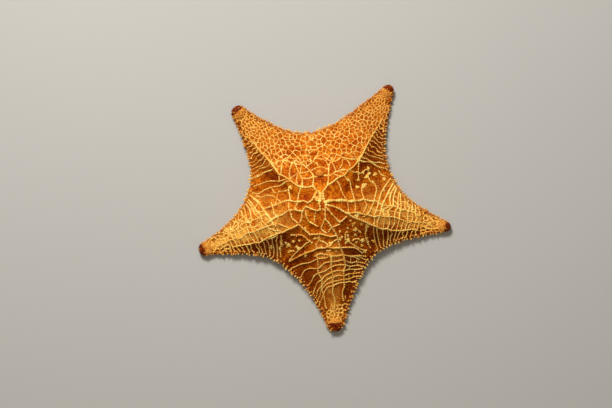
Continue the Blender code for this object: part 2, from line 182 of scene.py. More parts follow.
@dataclass
class BodyForm:
    """The swollen body: an outline in plan, and one height over it. Its sizes are the solid's."""

    tip_half_width: float = 4.4
    taper: float = 0.358
    margin_inset: float = 1.3
    web: float = 1.85
    tip_rounding: float = 7.0
    tip_spread: float = 14.0
    back_weight: float = 6.0
    hub_height: float = 56.0
    tip_thickness: float = 8.5
    crest_end: float = 0.86
    dome_roundness: float = 1.8
    dome_fall: float = 1.6
    wall_web: float = 12.0
    wall_tip: float = 5.5
    wall_fall_start: float = 0.56
    lift: float = 4.0
    lift_start: float = 0.86
    roundness: tuple[float, float] = (2.3, 2.2)
    roundness_span: tuple[float, float] = (0.3, 0.9)
    section_fall: float = 0.92
    coat_depth: float = 0.9
    sag: "SagMap | None" = None
    sag_margin: float = 0.2       # the sag fades out towards the outline,
    sag_fade: float = 0.7         # and by this share towards the arms' ends
    slope_step: float = 0.2       # slopes of the edge value are measured over this step,
    probe: float = 0.05           # and those of the surface over this one

    def half_width(self, arm: Arm, along: Array) -> Array:
        """An arm's half-width: its end's, plus a taper, plus a swelling that fades from a blunt end."""
        from_tip = np.maximum(arm.reach - along, 0)
        blunt = arm.blunt * np.exp(-from_tip / self.tip_spread)
        return arm.girth * (self.tip_half_width + blunt + self.taper * from_tip) - self.margin_inset

    def measure(self, points: Array) -> tuple[Array, Array]:
        """Where points lie on the body.

        Each arm has a field that is 0 on its midline and 1 on its edge, and the fields are joined
        with a soft web as a power mean.

        Args:
            points: plan points, any shape ending in 2.

        Returns:
            The edge values and the fractions.
        """
        total = 0.0
        reach = 0.0
        for arm in ARMS:
            along, across = arm.place(points)
            half = self.half_width(arm, along)
            behind = np.minimum(along, 0)
            past = np.maximum(along - (arm.reach - self.tip_rounding), 0) / self.tip_rounding
            value = (across ** 2 + self.back_weight * behind ** 2) / half ** 2 + past ** 2
            weight = (value + 1e-4) ** -self.web
            total = total + weight
            reach = reach + weight * arm.reach
        edge = total ** (-0.5 / self.web)
        return edge, np.linalg.norm(points, axis=-1) * total / reach

    def lifted(self, fraction: Array) -> Array:
        """How far the body is carried off the ground near an arm's end."""
        return self.lift * np.clip((fraction - self.lift_start) / (1 - self.lift_start), 0, 1) ** 2

    def wall(self, fraction: Array) -> Array:
        """Height of the margin wall above the underside."""
        part = np.clip((1 - fraction) / (1 - self.wall_fall_start), 0, 1)
        return self.wall_tip + (self.wall_web - self.wall_tip) * part

    def height(self, points: Array) -> Array:
        """The upper surface: from the crest it falls in a rounded shoulder to the margin wall.

        The crest falls along the arms as one minus a power of the fraction, all to a power. Across
        an arm the height over the wall falls in the same way with the edge value.

        Args:
            points: plan points, any shape ending in 2.

        Returns:
            Heights over the floor.
        """
        edge, fraction = self.measure(points)
        edge = np.clip(edge, 0, 1)
        part = np.clip(fraction / self.crest_end, 0, 1)
        crest = (1 - part ** self.dome_roundness) ** self.dome_fall
        crest = self.tip_thickness + (self.hub_height - self.tip_thickness) * crest
        start, end = self.roundness_span
        low, high = self.roundness
        power = low + (high - low) * ramp(fraction, start, end - start)
        fall = (1 - edge ** power) ** self.section_fall
        wall = self.wall(fraction)
        level = wall + (np.maximum(crest, wall) - wall) * fall + self.lifted(fraction)
        if self.sag:
            fade = ramp(edge, 1, -self.sag_margin) * (1 - self.sag_fade * part)
            level = level - self.sag.read(points) * fade
        return level

    def outward(self, points: Array) -> Array:
        """Level unit vectors from the midlines to the outline: the edge value's slope.

        Args:
            points: plan points.

        Returns:
            The vectors.
        """
        step = self.slope_step
        dx = self.measure(points + [step, 0])[0] - self.measure(points - [step, 0])[0]
        dy = self.measure(points + [0, step])[0] - self.measure(points - [0, step])[0]
        return unit(np.stack([dx, dy], axis=-1))

    def skin(self, points: Array) -> Array:
        """Places on the soft skin, which lies inside the solid by the coat's depth."""
        edge = np.clip(self.measure(points)[0], 0, 1)
        plan = points - self.coat_depth * edge[..., None] * self.outward(points)
        return raised(plan, self.height(points) - self.coat_depth)

    def normal(self, points: Array) -> Array:
        """Unit vectors square to the upper surface, from its slopes.

        Args:
            points: plan points.

        Returns:
            The vectors.
        """
        step = self.probe
        dx = (self.height(points + [step, 0]) - self.height(points - [step, 0])) / (2 * step)
        dy = (self.height(points + [0, step]) - self.height(points - [0, step])) / (2 * step)
        return unit(np.stack([-dx, -dy, np.ones_like(dx)], axis=-1))


FORM = BodyForm()


def first_crossing(starts: Array, rays: Array, reach: float, halvings: int = 26) -> Array:
    """Distance from each start along its ray to the outline.

    Even steps find the first point outside, and halving narrows the place down.

    Args:
        starts: plan points inside the outline.
        rays: a unit vector for each.
        reach: how far to look.
        halvings: how often the last step is halved.

    Returns:
        A distance for each start.
    """
    steps = np.linspace(0, reach, 281)
    outside = FORM.measure(starts[:, None] + steps[None, :, None] * rays[:, None])[0] > 1
    first = np.argmax(outside, axis=1)
    low = steps[np.maximum(first - 1, 0)]
    high = steps[first]
    for _ in range(halvings):
        middle = (low + high) / 2
        beyond = FORM.measure(starts + middle[:, None] * rays)[0] > 1
        high = np.where(beyond, middle, high)
        low = np.where(beyond, low, middle)
    return low


def web_point(right: Arm, left: Arm, rays: int = 61, reach: float = 110.0) -> Array:
    """Deepest point of the angle between two arms: the outline's nearest point to the hub.

    Args:
        right: the first arm.
        left: the next arm anticlockwise.
        rays: how many directions are tried.
        reach: how far out each is followed.

    Returns:
        A plan point.
    """
    turn = (left.heading - right.heading) % 360
    turns = np.radians(right.heading + turn * np.linspace(0.25, 0.75, rays))
    ahead = np.stack([np.cos(turns), np.sin(turns)], axis=1)
    points = ahead * first_crossing(np.zeros((rays, 2)), ahead, reach)[:, None]
    return points[np.argmin(np.linalg.norm(points, axis=1))]


class Side(Enum):
    """The two flanks of an arm, as the sign of their distance to the left."""

    RIGHT = -1
    LEFT = 1


class HalfArm:
    """One flank of one arm, from the line between two arms to the arm's end."""

    STATIONS = 220
    WIDEST = 70.0
    LEAN_SPAN = 45.0      # the rows lean fully from this distance on
    LEAN = 0.9
    SWEPT_FROM = 0.4      # where the extra lean begins, how soon it is whole, and how it fades
    SWEPT_SPAN = 0.12
    SWEPT_FADE = 0.4

    # Where rows leave the midline, and where they meet the margin, as parts of the two lengths.
    ROW_FEET = ((0, 0.3, 0.37, 0.445, 0.54, 0.62, 0.8, 1), (0, 0.0, 0.04, 0.12, 0.21, 0.31, 0.63, 1))

    def __init__(self, arm: Arm, side: Side, web: Array) -> None:
        """Find the flank's margin: edge points, their arc length and their outward directions.

        Args:
            arm: the arm it belongs to.
            side: which of the arm's flanks it is.
            web: the outline's nearest point to the hub, between this arm and its neighbour.
        """
        self.arm = arm
        self.side = side
        self.web = web
        start = float(web @ arm.ahead)
        quarter = np.linspace(0, 1, self.STATIONS)
        axis = arm.axis(start + (arm.reach - start) * np.sin(quarter * math.pi / 2))
        ray = np.broadcast_to(side.value * arm.left, axis.shape)
        self.points = axis + first_crossing(axis, ray, self.WIDEST)[:, None] * ray
        self.points[0] = web
        self.points[-1] = arm.axis(np.array(arm.reach))
        steps = np.linalg.norm(np.diff(self.points, axis=0), axis=1)
        self.arc = joined([[0], np.cumsum(steps)])
        tangent = unit(np.gradient(self.points, self.arc, axis=0))
        outward = side.value * np.stack([-tangent[:, 1], tangent[:, 0]], axis=1)
        ends = ((np.linspace(0, 8, self.STATIONS), unit(web)), ((1 - quarter) * 12, arm.end_heading(1)))
        for away, direction in ends:
            share = smooth(away)[:, None]
            outward = unit(share * outward + (1 - share) * direction)
        self.outward = outward

    @property
    def share(self) -> float:
        """The share of cross bars on this flank."""
        return self.arm.links_left if self.side is Side.LEFT else self.arm.links_right

    def inner(self, along: Array) -> Array:
        """Where this flank's net begins, as a distance from the midline: at the crest ridge."""
        return self.arm.ridge_at(along) * (-1 if self.share > 0.5 else 1)

    def by_arc(self, part: Array) -> tuple[Array, Array]:
        """Margin points and outward directions at fractions of the margin's arc length.

        Args:
            part: the fractions.

        Returns:
            The points and the directions.
        """
        keys = self.arc / self.arc[-1]
        point = np.stack([np.interp(part, keys, self.points[:, k]) for k in (0, 1)], axis=-1)
        out = np.stack([np.interp(part, keys, self.outward[:, k]) for k in (0, 1)], axis=-1)
        return point, unit(out)

    def beside(self, along: Array, across: Array | float) -> Array:
        """Plan points at distances along the arm and off its midline, on this flank."""
        return self.arm.axis(along) + self.side.value * across * self.arm.left

    def row(self, start: Array, part: Array) -> Array:
        """Points on the rows of plates, which lean to the arm's end near the disc.

        Args:
            start: where the row leaves the midline, in millimetres from the hub.
            part: 0 on the midline and 1 on the margin.

        Returns:
            A plan point for each start and part.
        """
        start = np.asarray(start, float)
        part = np.asarray(part)
        place = start / self.arm.reach
        fade = ramp(place, self.SWEPT_FROM, self.SWEPT_SPAN) * ramp(place, 1, -self.SWEPT_FADE)
        swept = self.arm.swept * (self.side is Side.RIGHT) * fade
        foot, _ = self.by_arc(np.interp(place, *self.ROW_FEET) + swept)
        centre = self.arm.axis(start)
        bent = np.sign(part) * np.abs(part) ** (1 + self.LEAN * smooth(start / self.LEAN_SPAN))
        along = ((foot - centre) @ self.arm.ahead) * bent
        across = ((foot - centre) @ self.arm.left) * part
        return centre + along[..., None] * self.arm.ahead + across[..., None] * self.arm.left


def make_halves() -> list[HalfArm]:
    """The ten flanks, right and left of each arm in turn."""
    webs = [web_point(right, left) for right, left in zip(ARMS, ARMS[1:] + ARMS[:1])]
    return [HalfArm(arm, side, webs[index + shift])
            for index, arm in enumerate(ARMS) for side, shift in ((Side.RIGHT, -1), (Side.LEFT, 0))]


# ---- the unwrap for baking

def spread(edge: Array) -> Array:
    """The edge value eased so that the steep flank keeps its share of the unwrap."""
    return 2 / math.pi * np.arcsin(np.clip(edge, 0, 1))


def unwrap(arm: Arm, along: Array, across: Array, below: bool) -> Array:
    """Place on the skin's unwrap: ten strips, one for the back and one for the sole of each arm.

    Args:
        arm: the arm whose strip it is.
        along: distance along the arm.
        across: signed way across the strip, -1 to 1.
        below: whether the place is on the underside.

    Returns:
        Pairs from 0 to 1.
    """
    u = 0.008 + 0.5 * below + 0.48 * np.clip(along / arm.reach, 0, 1)
    v = (arm.number - 0.5 + 0.46 * np.clip(across, -1, 1)) / len(ARMS)
    return np.stack(np.broadcast_arrays(u, v), axis=-1)


def unwrap_back(arm: Arm, points: Array) -> Array:
    """Places on the unwrap for plan points on the upper surface of an arm."""
    along, across = arm.place(points)
    side = np.where(across < 0, -1, 1)
    return unwrap(arm, along, side * spread(FORM.measure(points)[0]), False)


def unwrap_part(arm: Arm, places: Array, below: bool, half_strip: float = 20.0) -> Array:
    """Places on the unwrap for a small part's points, by their distance off the midline."""
    along, across = arm.place(places[..., :2])
    return unwrap(arm, along, across / half_strip, below)


# ---- meshes

def weld(mesh: bpy.types.Mesh) -> None:
    """Join the points that coincide and turn the faces outwards.

    Args:
        mesh: the mesh to change.
    """
    work = bmesh.new()
    work.from_mesh(mesh)
    bmesh.ops.remove_doubles(work, verts=work.verts, dist=2e-6)
    bmesh.ops.dissolve_degenerate(work, edges=work.edges, dist=1e-7)
    bmesh.ops.recalc_face_normals(work, faces=work.faces)
    work.to_mesh(mesh)
    work.free()


@dataclass
class Cloud:
    """Arrays of one mesh: places from the hub, faces, unwrap and paint values."""

    places: Array
    faces: list[Array]
    uv: Array
    tone: Array                   # 0 at a part's foot, 1 at its crown
    reach: Array                  # the fraction
    flank: Array | None = None    # painted shade on the skin where positive; where negative, the golden hue, partly a painted highlight

    @staticmethod
    def join(clouds: list["Cloud"]) -> "Cloud":
        """Several clouds as one.

        Args:
            clouds: the clouds, all with a flank value, the painted shade and gold, or all without.

        Returns:
            One cloud, its faces sorted by their corners.
        """
        shifts = np.cumsum([0] + [len(cloud.places) for cloud in clouds])
        faces = [block + shift for cloud, shift in zip(clouds, shifts) for block in cloud.faces]
        sizes = sorted({block.shape[1] for block in faces})
        places, uv, tone, reach = (joined([getattr(cloud, name) for cloud in clouds])
                                   for name in ("places", "uv", "tone", "reach"))
        by_size = [joined([block for block in faces if block.shape[1] == size]) for size in sizes]
        flank = None if clouds[0].flank is None else joined([cloud.flank for cloud in clouds])
        return Cloud(places, by_size, uv, tone, reach, flank)

    def mesh(self, name: str) -> bpy.types.Mesh:
        """The mesh with its unwrap and paint values.

        Args:
            name: its name.

        Returns:
            The mesh, in metres.
        """
        mesh = bpy.data.meshes.new(name)
        mesh.vertices.add(len(self.places))
        mesh.vertices.foreach_set("co", ((self.places + HUB) * MM).astype(np.float32).ravel())
        loops = joined([block.ravel() for block in self.faces]).astype(np.int32)
        sizes = joined([np.full(len(block), block.shape[1]) for block in self.faces])
        mesh.loops.add(len(loops))
        mesh.loops.foreach_set("vertex_index", loops)
        mesh.polygons.add(len(sizes))
        starts = joined([[0], np.cumsum(sizes)[:-1]]).astype(np.int32)
        mesh.polygons.foreach_set("loop_start", starts)
        layer = mesh.uv_layers.new(name="OFBake")
        layer.data.foreach_set("uv", self.uv[loops].astype(np.float32).ravel())
        # the flank paint carries the painted shade and the gold
        flank = np.zeros(len(self.tone)) if self.flank is None else self.flank
        for label, values in (("tone", self.tone), ("reach", self.reach), ("flank", flank)):
            paint = mesh.attributes.new(label, "FLOAT", "POINT")
            paint.data.foreach_set("value", values.astype(np.float32))
        mesh.update(calc_edges=True)
        mesh.validate()
        return mesh

    def build(self, name: str, material: Material, slot: str, *replaced: str, merge: bool = False) -> None:
        """Make the piece, tie it to the body and report it. It stands at the origin.

        Args:
            name: the piece's name.
            material: its finish.
            slot: the kind of finish; not used.
            replaced: the nodes that it stands for.
            merge: whether points that coincide become one.
        """
        mesh = self.mesh(name)
        if merge:
            weld(mesh)
        mesh.shade_smooth()
        mesh.materials.append(material)
        piece = bpy.data.objects.new(name, mesh)
        bpy.context.collection.objects.link(piece)
        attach(piece, "root")
        if replaced:
            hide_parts(*replaced)
        LOG.info("%s: %d faces", name, len(mesh.polygons))


def grid_faces(rows: int, columns: int, flip: bool = False) -> Array:
    """Quads of a grid of points that lie row after row."""
    first = (np.arange(rows - 1)[:, None] * columns + np.arange(columns - 1)[None]).ravel()
    quads = np.stack([first, first + 1, first + columns + 1, first + columns], axis=1)
    return quads[:, ::-1] if flip else quads


@dataclass(frozen=True)
class Spine:
    """A solid of revolution grown from the skin: (height, radius) pairs as parts of its sizes."""

    profile: tuple[tuple[float, float], ...]
    sides: int = 6

    POINT = 0.12          # the closing point stands this far over the last ring
    PATCH = 0.0014        # a copy's patch on the unwrap
    FOOT_TONE = 0.15

    def grow(self, roots: Array, axes: Array, radii: Array | float, lengths: Array | float, uv: Array,
             reach: Array | float, tones: Array | float = 1.0) -> Cloud:
        """Copies of the spine: rings of points round each axis, closed by a point at the top.

        Args:
            roots: where each stands.
            axes: unit vectors along each.
            radii: their radii at the base, or one for all.
            lengths: their lengths.
            uv: each root's place on the unwrap.
            reach: each root's fraction.
            tones: a brightness for each.

        Returns:
            The cloud of all copies.
        """
        count = len(roots)
        radii, lengths, reach, tones = (
            np.broadcast_to(values, count) for values in (radii, lengths, reach, tones))
        heights, scales = np.array(self.profile).T
        turns = np.arange(self.sides) * 2 * math.pi / self.sides
        helper = np.where(np.abs(axes[:, 2:3]) > 0.9, [[1.0, 0, 0]], [[0, 0, 1.0]])
        first = unit(np.cross(axes, helper))
        second = np.cross(axes, first)
        cosines, sines = np.cos(turns)[None, :, None], np.sin(turns)[None, :, None]
        around = cosines * first[:, None] + sines * second[:, None]
        rise = heights[None, :, None, None] * (lengths[:, None] * axes)[:, None, None]
        spread_out = scales[None, :, None, None] * (radii[:, None, None, None] * around[:, None])
        rings = roots[:, None, None] + rise + spread_out
        tips = roots + axes * (lengths * (heights[-1] + self.POINT))[:, None]
        per = len(heights) * self.sides + 1
        places = joined([rings.reshape(count, -1, 3), tips[:, None]], axis=1)
        ring_uv = self.PATCH * scales[:, None, None] * np.stack([np.cos(turns), np.sin(turns)], axis=1)[None]
        local_uv = joined([ring_uv.reshape(-1, 2), [[0, 0]]])
        climb = np.clip(joined([np.repeat(heights, self.sides), [1.0]]), 0, 1)
        tone = self.FOOT_TONE + (1 - self.FOOT_TONE) * climb
        level = np.arange(len(heights) - 1)[:, None] * self.sides
        here = np.arange(self.sides)[None]
        after = (here + 1) % self.sides
        quads = np.stack([level + here, level + after, level + after + self.sides,
                          level + here + self.sides], axis=-1).reshape(-1, 4)
        top = (len(heights) - 1) * self.sides
        caps = np.stack([top + here[0], top + after[0], np.full(self.sides, per - 1)], axis=1)
        base = here[:, ::-1]
        shift = (np.arange(count) * per)[:, None, None]
        return Cloud(
            places.reshape(-1, 3),
            [(block[None] + shift).reshape(-1, block.shape[1]) for block in (caps, quads, base)],
            (uv[:, None] + local_uv[None]).reshape(-1, 2),
            np.clip(tones[:, None] * tone[None], 0, 1).ravel(),
            np.repeat(reach, per))


BLUNT = Spine(((-0.35, 1.3), (0.08, 1.08), (0.42, 0.82), (0.74, 0.54), (0.93, 0.27)), sides=7)
POINTED = Spine(((-0.25, 1.0), (0.15, 1.0), (0.5, 0.74), (0.85, 0.38)), sides=8)
GRAIN = Spine(((-0.3, 0.95), (0.3, 0.9), (0.8, 0.5)), sides=5)
SUCKER = Spine(((0, 1.0), (0.6, 0.8), (0.8, 0.7), (0.86, 1.15), (0.97, 1.1)), sides=8)


# ---- values over the plan

class PlanMap:
    """A value kept on a square grid over the plan and read smoothly between its cells."""

    cell = 0.5
    half_size = 150.0

    def __init__(self, grid: Array) -> None:
        """Keep the grid."""
        self.grid = grid

    @classmethod
    def count(cls) -> int:
        """How many cells the grid has along each side."""
        return int(2 * cls.half_size / cls.cell)

    def read(self, points: Array) -> Array:
        """Values at plan points, mixed from the four cells around each.

        Args:
            points: plan points.

        Returns:
            The values.
        """
        place = np.clip((points + self.half_size) / self.cell - 0.5, 0, self.grid.shape[0] - 1.001)
        low = place.astype(int)
        part = place - low
        x, y = low[..., 0], low[..., 1]
        px, py = part[..., 0], part[..., 1]
        upper = self.grid[y + 1, x] * (1 - px) + self.grid[y + 1, x + 1] * px
        return (self.grid[y, x] * (1 - px) + self.grid[y, x + 1] * px) * (1 - py) + upper * py


class RidgeMap(PlanMap):
    """How near a plan point is to the net, 0 to 1: the bars' points counted in cells, then blurred."""

    def __init__(self, points: Array, blur: float = 0.65, strength: float = 0.6) -> None:
        """Count the points and blur the counts with a bell curve along each axis.

        Args:
            points: plan points along the net's bars.
            blur: the bell curve's width in millimetres.
            strength: how fast the value nears 1 as the counts grow.
        """
        count = self.count()
        cells = np.clip(((points + self.half_size) / self.cell).astype(int), 0, count - 1)
        grid = np.zeros((count, count))
        np.add.at(grid, (cells[:, 1], cells[:, 0]), 1.0)
        width = blur / self.cell
        reach = int(4 * width)
        kernel = np.exp(-0.5 * (np.arange(-reach, reach + 1) / width) ** 2)
        for axis in (0, 1):
            grid = sum(share * np.roll(grid, offset, axis=axis)
                       for offset, share in zip(range(-reach, reach + 1), kernel))
        super().__init__(1 - np.exp(-strength * grid))


class SagMap(PlanMap):
    """How far the skin hangs between the strong ridges, as cloth does between poles.

    The sag grows with the distance to the nearest ridge point and evens out: depth times one minus
    the exponential of the distance over the span.
    """

    cell = 1.0

    def __init__(self, points: Array, depth: float = 3.4, span: float = 5.5) -> None:
        """Find each cell's distance to the nearest of the points.

        Args:
            points: plan points along the strong ridges.
            depth: the deepest sag in millimetres.
            span: the distance over which it evens out.
        """
        line = (np.arange(self.count()) + 0.5) * self.cell - self.half_size
        squares = (line[:, None] - points[None, :, 1]) ** 2
        nearest = np.stack([(squares + (x - points[None, :, 0]) ** 2).min(axis=1) for x in line], axis=1)
        super().__init__(depth * (1 - np.exp(-np.sqrt(nearest) / span)))


# ---- skin

@dataclass
class Skin:
    """The one soft skin: ten patches between the midlines and the lines between arms, welded."""

    halves: list[HalfArm]
    material: Material
    ridges: RidgeMap
    rows: int = 112
    back_columns: int = 46
    sole_columns: int = 12
    inset: float = 5.5            # from the margin to where the sole begins
    swell: float = 0.4            # rise of the skin where it meets the net
    shade_width: float = 5.0      # the painted shade begins over this distance from the crest ridge
    light: tuple[float, float] = (-0.3, 0.95)     # the light's direction in plan; flanks that face it stay free of painted shade
    groove_edges: tuple[float, ...] = (4.6, 4.0, 3.6, 3.2, 2.8, 2.4, 2.0, 1.7, 0.9, 0.0)
    groove_depth: float = 5.0     # at the disc, and the loss towards the arm's end
    groove_loss: float = 2.5
    groove_half: float = 1.7      # half-width of its ceiling
    mouth_depth: float = 6.5
    mouth_radius: float = 8.0

    WALL_TONE = 0.3
    SOLE_TONE = -1.0              # marks the underside for the finish
    WALL_STEPS = 6

    def build(self) -> None:
        """Make the skin and let it stand for the flesh."""
        patches = [self.patch(half) for half in self.halves]
        flesh = ["disc", *[f"arm_{arm.number}" for arm in ARMS]]
        Cloud.join(patches).build("skin", self.material, "skin", *flesh, merge=True)

    def patch(self, half: HalfArm) -> Cloud:
        """One patch as a grid: over the back to the margin, down the wall and in to the groove.

        Args:
            half: the flank that it covers.

        Returns:
            The patch, whose columns crowd towards the margin as a power of the way there.
        """
        parts = np.linspace(0, 1, self.rows + 1)
        margin, outward = half.by_arc(parts)
        centre = half.arm.axis(half.arm.reach * parts)
        across = 1 - (1 - np.linspace(0, 1, self.back_columns + 1)) ** 1.5
        plan = centre[:, None] + across[None, :, None] * (margin - centre)[:, None]
        edge, fraction = FORM.measure(plan)
        back = FORM.skin(plan)
        near = self.ridges.read(plan)
        back[..., 2] += self.swell * near * (edge < 0.98)
        along, off = half.arm.place(plan)
        uv_back = unwrap(half.arm, along, half.side.value * spread(edge), False)

        low, uv_low, reach_low = self.below(half, parts, margin, outward)
        places = joined([back, low], axis=1)
        tone = joined([near, np.full(low.shape[:2], self.WALL_TONE)], axis=1)
        tone[:, self.back_columns + 4:] = self.SOLE_TONE
        reach = joined([fraction, reach_low], axis=1)
        uv = joined([uv_back, uv_low], axis=1)
        faces = grid_faces(*places.shape[:2], flip=half.side is Side.LEFT)
        beyond = np.abs(off) - half.arm.ridge_at(along)
        # painted shade on the flanks away from the light, less the gold on the arms' tops
        flank = self.shade(half, FORM.outward(plan), beyond, edge, fraction)
        flank = joined([flank, np.repeat(flank[:, -1:], low.shape[1], axis=1)], axis=1)
        return Cloud(places.reshape(-1, 3), [faces], uv.reshape(-1, 2), tone.ravel(), reach.ravel(),
                     flank.ravel())

    def shade(self, half: HalfArm, outward: Array, beyond: Array, edge: Array, fraction: Array) -> Array:
        """The flank paint: painted shade on the sides away from the light, and gold by the crests, partly a
        painted highlight.

        Args:
            half: the flank.
            outward: directions to the outline.
            beyond: distances past the crest ridge.
            edge: edge values.
            fraction: fractions.

        Returns:
            The painted shade less the gold.
        """
        # painted shade on the sides that face away from the light, from the crest ridge where the arm has
        # one
        dark = smooth(beyond / self.shade_width) if half.arm.ridge else ramp(edge, 0.25, 0.3)
        dark = dark * ramp(outward @ np.array(self.light), 0.3, -0.6)
        shade = dark * (1 - 0.6 * ramp(fraction, 0.75, 0.2))
        # gold on the arm's top: a golden hue, partly a painted highlight along the crest
        golden = ramp(fraction, 0.18, 0.3) * (1 - 0.75 * ramp(edge, 0.22, 0.35))
        return shade - half.arm.gold * (1 - dark) * golden

    def below(self, half: HalfArm, parts: Array, margin: Array,
              outward: Array) -> tuple[Array, Array, Array]:
        """The wall and the sole: a smooth chain under each margin point, then a grid to the groove.

        The chain bulges as a sine and comes in as a cube while its height falls in a soft step.

        Args:
            half: the flank.
            parts: parts of the margin's length, one for each row.
            margin: the margin points.
            outward: the outward directions there.

        Returns:
            The places, their unwrap and their fractions, each as a grid.
        """
        fraction = FORM.measure(margin)[1]
        depth = FORM.coat_depth
        width = np.maximum(np.abs(half.arm.place(margin)[1]), 5.4)
        inset = np.minimum(self.inset, 0.34 * width)
        steps = np.linspace(0, 1, self.WALL_STEPS + 1)[1:]
        shape = smooth(steps)[None]
        out = -depth + 0.9 * np.sin(math.pi * steps[None] * 0.9) - inset[:, None] * steps[None] ** 3
        level = (FORM.wall(fraction)[:, None] - depth) * (1 - shape) + depth * shape
        level = level + FORM.lifted(fraction)[:, None]
        plan = margin[:, None] + out[..., None] * outward[:, None]
        chain = raised(plan, level)

        inner = half.arm.axis((half.arm.reach - inset[-1] - depth) * parts)
        last = plan[:, -1]
        last[-1] = inner[-1]
        chain[-1, -1, :2] = inner[-1]
        reach_across = np.abs(half.arm.place(last)[1])
        reach_across[0] = np.linalg.norm(last[0]) * math.sin(math.pi / len(ARMS))
        edges = np.array(self.groove_edges)
        fits = np.minimum(1, 0.8 * reach_across / edges[0])
        wide = np.linspace(0, 1, self.sole_columns + 1)[1:-1]
        inner_across = fits[:, None] * edges[None]
        outer_across = reach_across[:, None] + wide[None] * (inner_across[:, :1] - reach_across[:, None])
        across = joined([outer_across, inner_across], axis=1)
        share = across / np.maximum(reach_across[:, None], 1e-6)
        sole = inner[:, None] + share[..., None] * (last - inner)[:, None]
        grid = raised(sole, self.sole_height(half.arm, sole))

        places = joined([chain, grid], axis=1)
        along = half.arm.place(places[..., :2])[0]
        way = joined([np.broadcast_to(1 - 0.15 * steps[None], level.shape), 0.85 * share], axis=1)
        uv = unwrap(half.arm, along, half.side.value * way, True)
        return places, uv, FORM.measure(places[..., :2])[1]

    def sole_height(self, arm: Arm, points: Array) -> Array:
        """Height of the underside: flat, with a groove along the arm and a hollow at the mouth.

        Args:
            arm: the arm whose groove it is.
            points: plan points.

        Returns:
            Heights over the floor.
        """
        along, across = arm.place(points)
        away = np.linalg.norm(points, axis=-1)
        fraction = FORM.measure(points)[1]
        depth = self.groove_depth - self.groove_loss * np.clip((along - 50) / (arm.reach - 50), 0, 1)
        depth = depth * ramp(along, arm.reach - 7, -6)
        groove = depth * (1 - ramp(np.abs(across), self.groove_half, 1.9))
        groove = groove + 0.5 * np.clip(1 - (across / self.groove_half) ** 2, 0, 1) * (depth > 0.5)
        mouth = self.mouth_depth * (1 - ramp(away, self.mouth_radius, 1.4))
        mouth = mouth + 1.5 * np.clip(1 - away / 8.6, 0, 1)
        return FORM.coat_depth + FORM.lifted(fraction) + np.maximum(groove, mouth)


# ---- the net

# Ridges of the disc, listed: the half-width, then x and y of each point.
STRONG = (
    (1.9, -3.5, 12, -2, 8, -2.5, 3, -3, -1),
    (1.1, -3, 0, -2, -3, -2, -6),
    (1.5, 0.5, 12, 1, 6, 2, 1),
    (1.0, 2, 1, 3, -1, 3, -6),
    (1.4, -5, 11, -7, 7, -5, 3, -1, 3),
    (1.2, -3, 11.5, -6, 13, -9, 16.5, -15, 15.3, -20, 16, -24, 17.5, -28, 20, -31, 22.5),
    (1.2, -31, 22.5, -34, 24.5, -38, 27, -42, 29, -46, 34, -51, 40, -56, 46),
    (1.1, 0, 11.5, 2, 13.5, 5, 18, 10, 21, 15, 24.5, 22, 28, 26, 33, 31, 36, 36, 42),
    (1.1, 36, 42, 39, 47, 42, 53, 46, 60),
    (1.2, -5, 12, -8, 7, -10, 3.5, -14, 1.5, -18, 2.5, -23, 1.5, -28, 2, -33, 3, -40, 1),
    (1.0, -40, 1, -46, -1, -52, -3, -58, -5),
    (1.0, -1, -6, -5, -6.5, -10, -5, -14, -3, -17, -3.5, -19, -7, -24, -6.5, -28, -6),
    (1.4, -28, -6, -32, -6.5, -35, -8.5, -39, -11, -43, -12.5, -48, -15, -54, -20),
    (1.1, -16, -6, -15.5, -12, -13.5, -17, -9, -19.5, -4, -22.5),
    (1.1, -23, -20.5, -26, -22, -30, -24, -34, -26, -38, -28.5, -42, -29, -50, -32, -56, -35),
    (1.1, -23, -20.5, -18, -25, -14, -27.5, -11, -29.5, -2, -29.5, 4, -31, 9, -32, 15, -31),
    (1.1, 0, -5, 3, -6.5, 3, -11, 3.5, -15, 6, -18, 9, -23, 12, -27, 15, -32),
    (1.1, 15, -32, 17, -40, 18.5, -43, 21, -50, 23, -57),
    (1.1, 3, -3, 6, -6, 9.5, -10, 13, -14, 16.5, -18, 20, -16, 24, -12),
    (1.3, 3, -1, 9, -2.5, 16, -5, 20, -7, 23.5, -9, 27, -9.5, 33, -9, 39, -10, 45, -10.5),
    (1.9, 2.5, 1, 6, 2.5, 10, 3, 15, 2.6, 20, 3.2, 26, 2.6, 31, 3),
    (1.1, 25, -9.5, 28, -12, 31, -14, 36, -16, 42, -18, 46, -20, 51, -22, 57, -24),
    (1.5, 31, 3, 36, 3, 40, 4, 47, 2.5, 54, 2),
    (1.1, -33, -58, -22, -52, -14, -48, -8, -46, -4, -44, 2, -43, 6, -41),
    (1.0, 6, -42, 11, -43, 17, -43, 25, -43, 32, -44, 36, -46, 41, -50),
    (1.0, 36, 42, 41, 41, 48, 41, 53, 38, 58, 36, 66, 35),
)

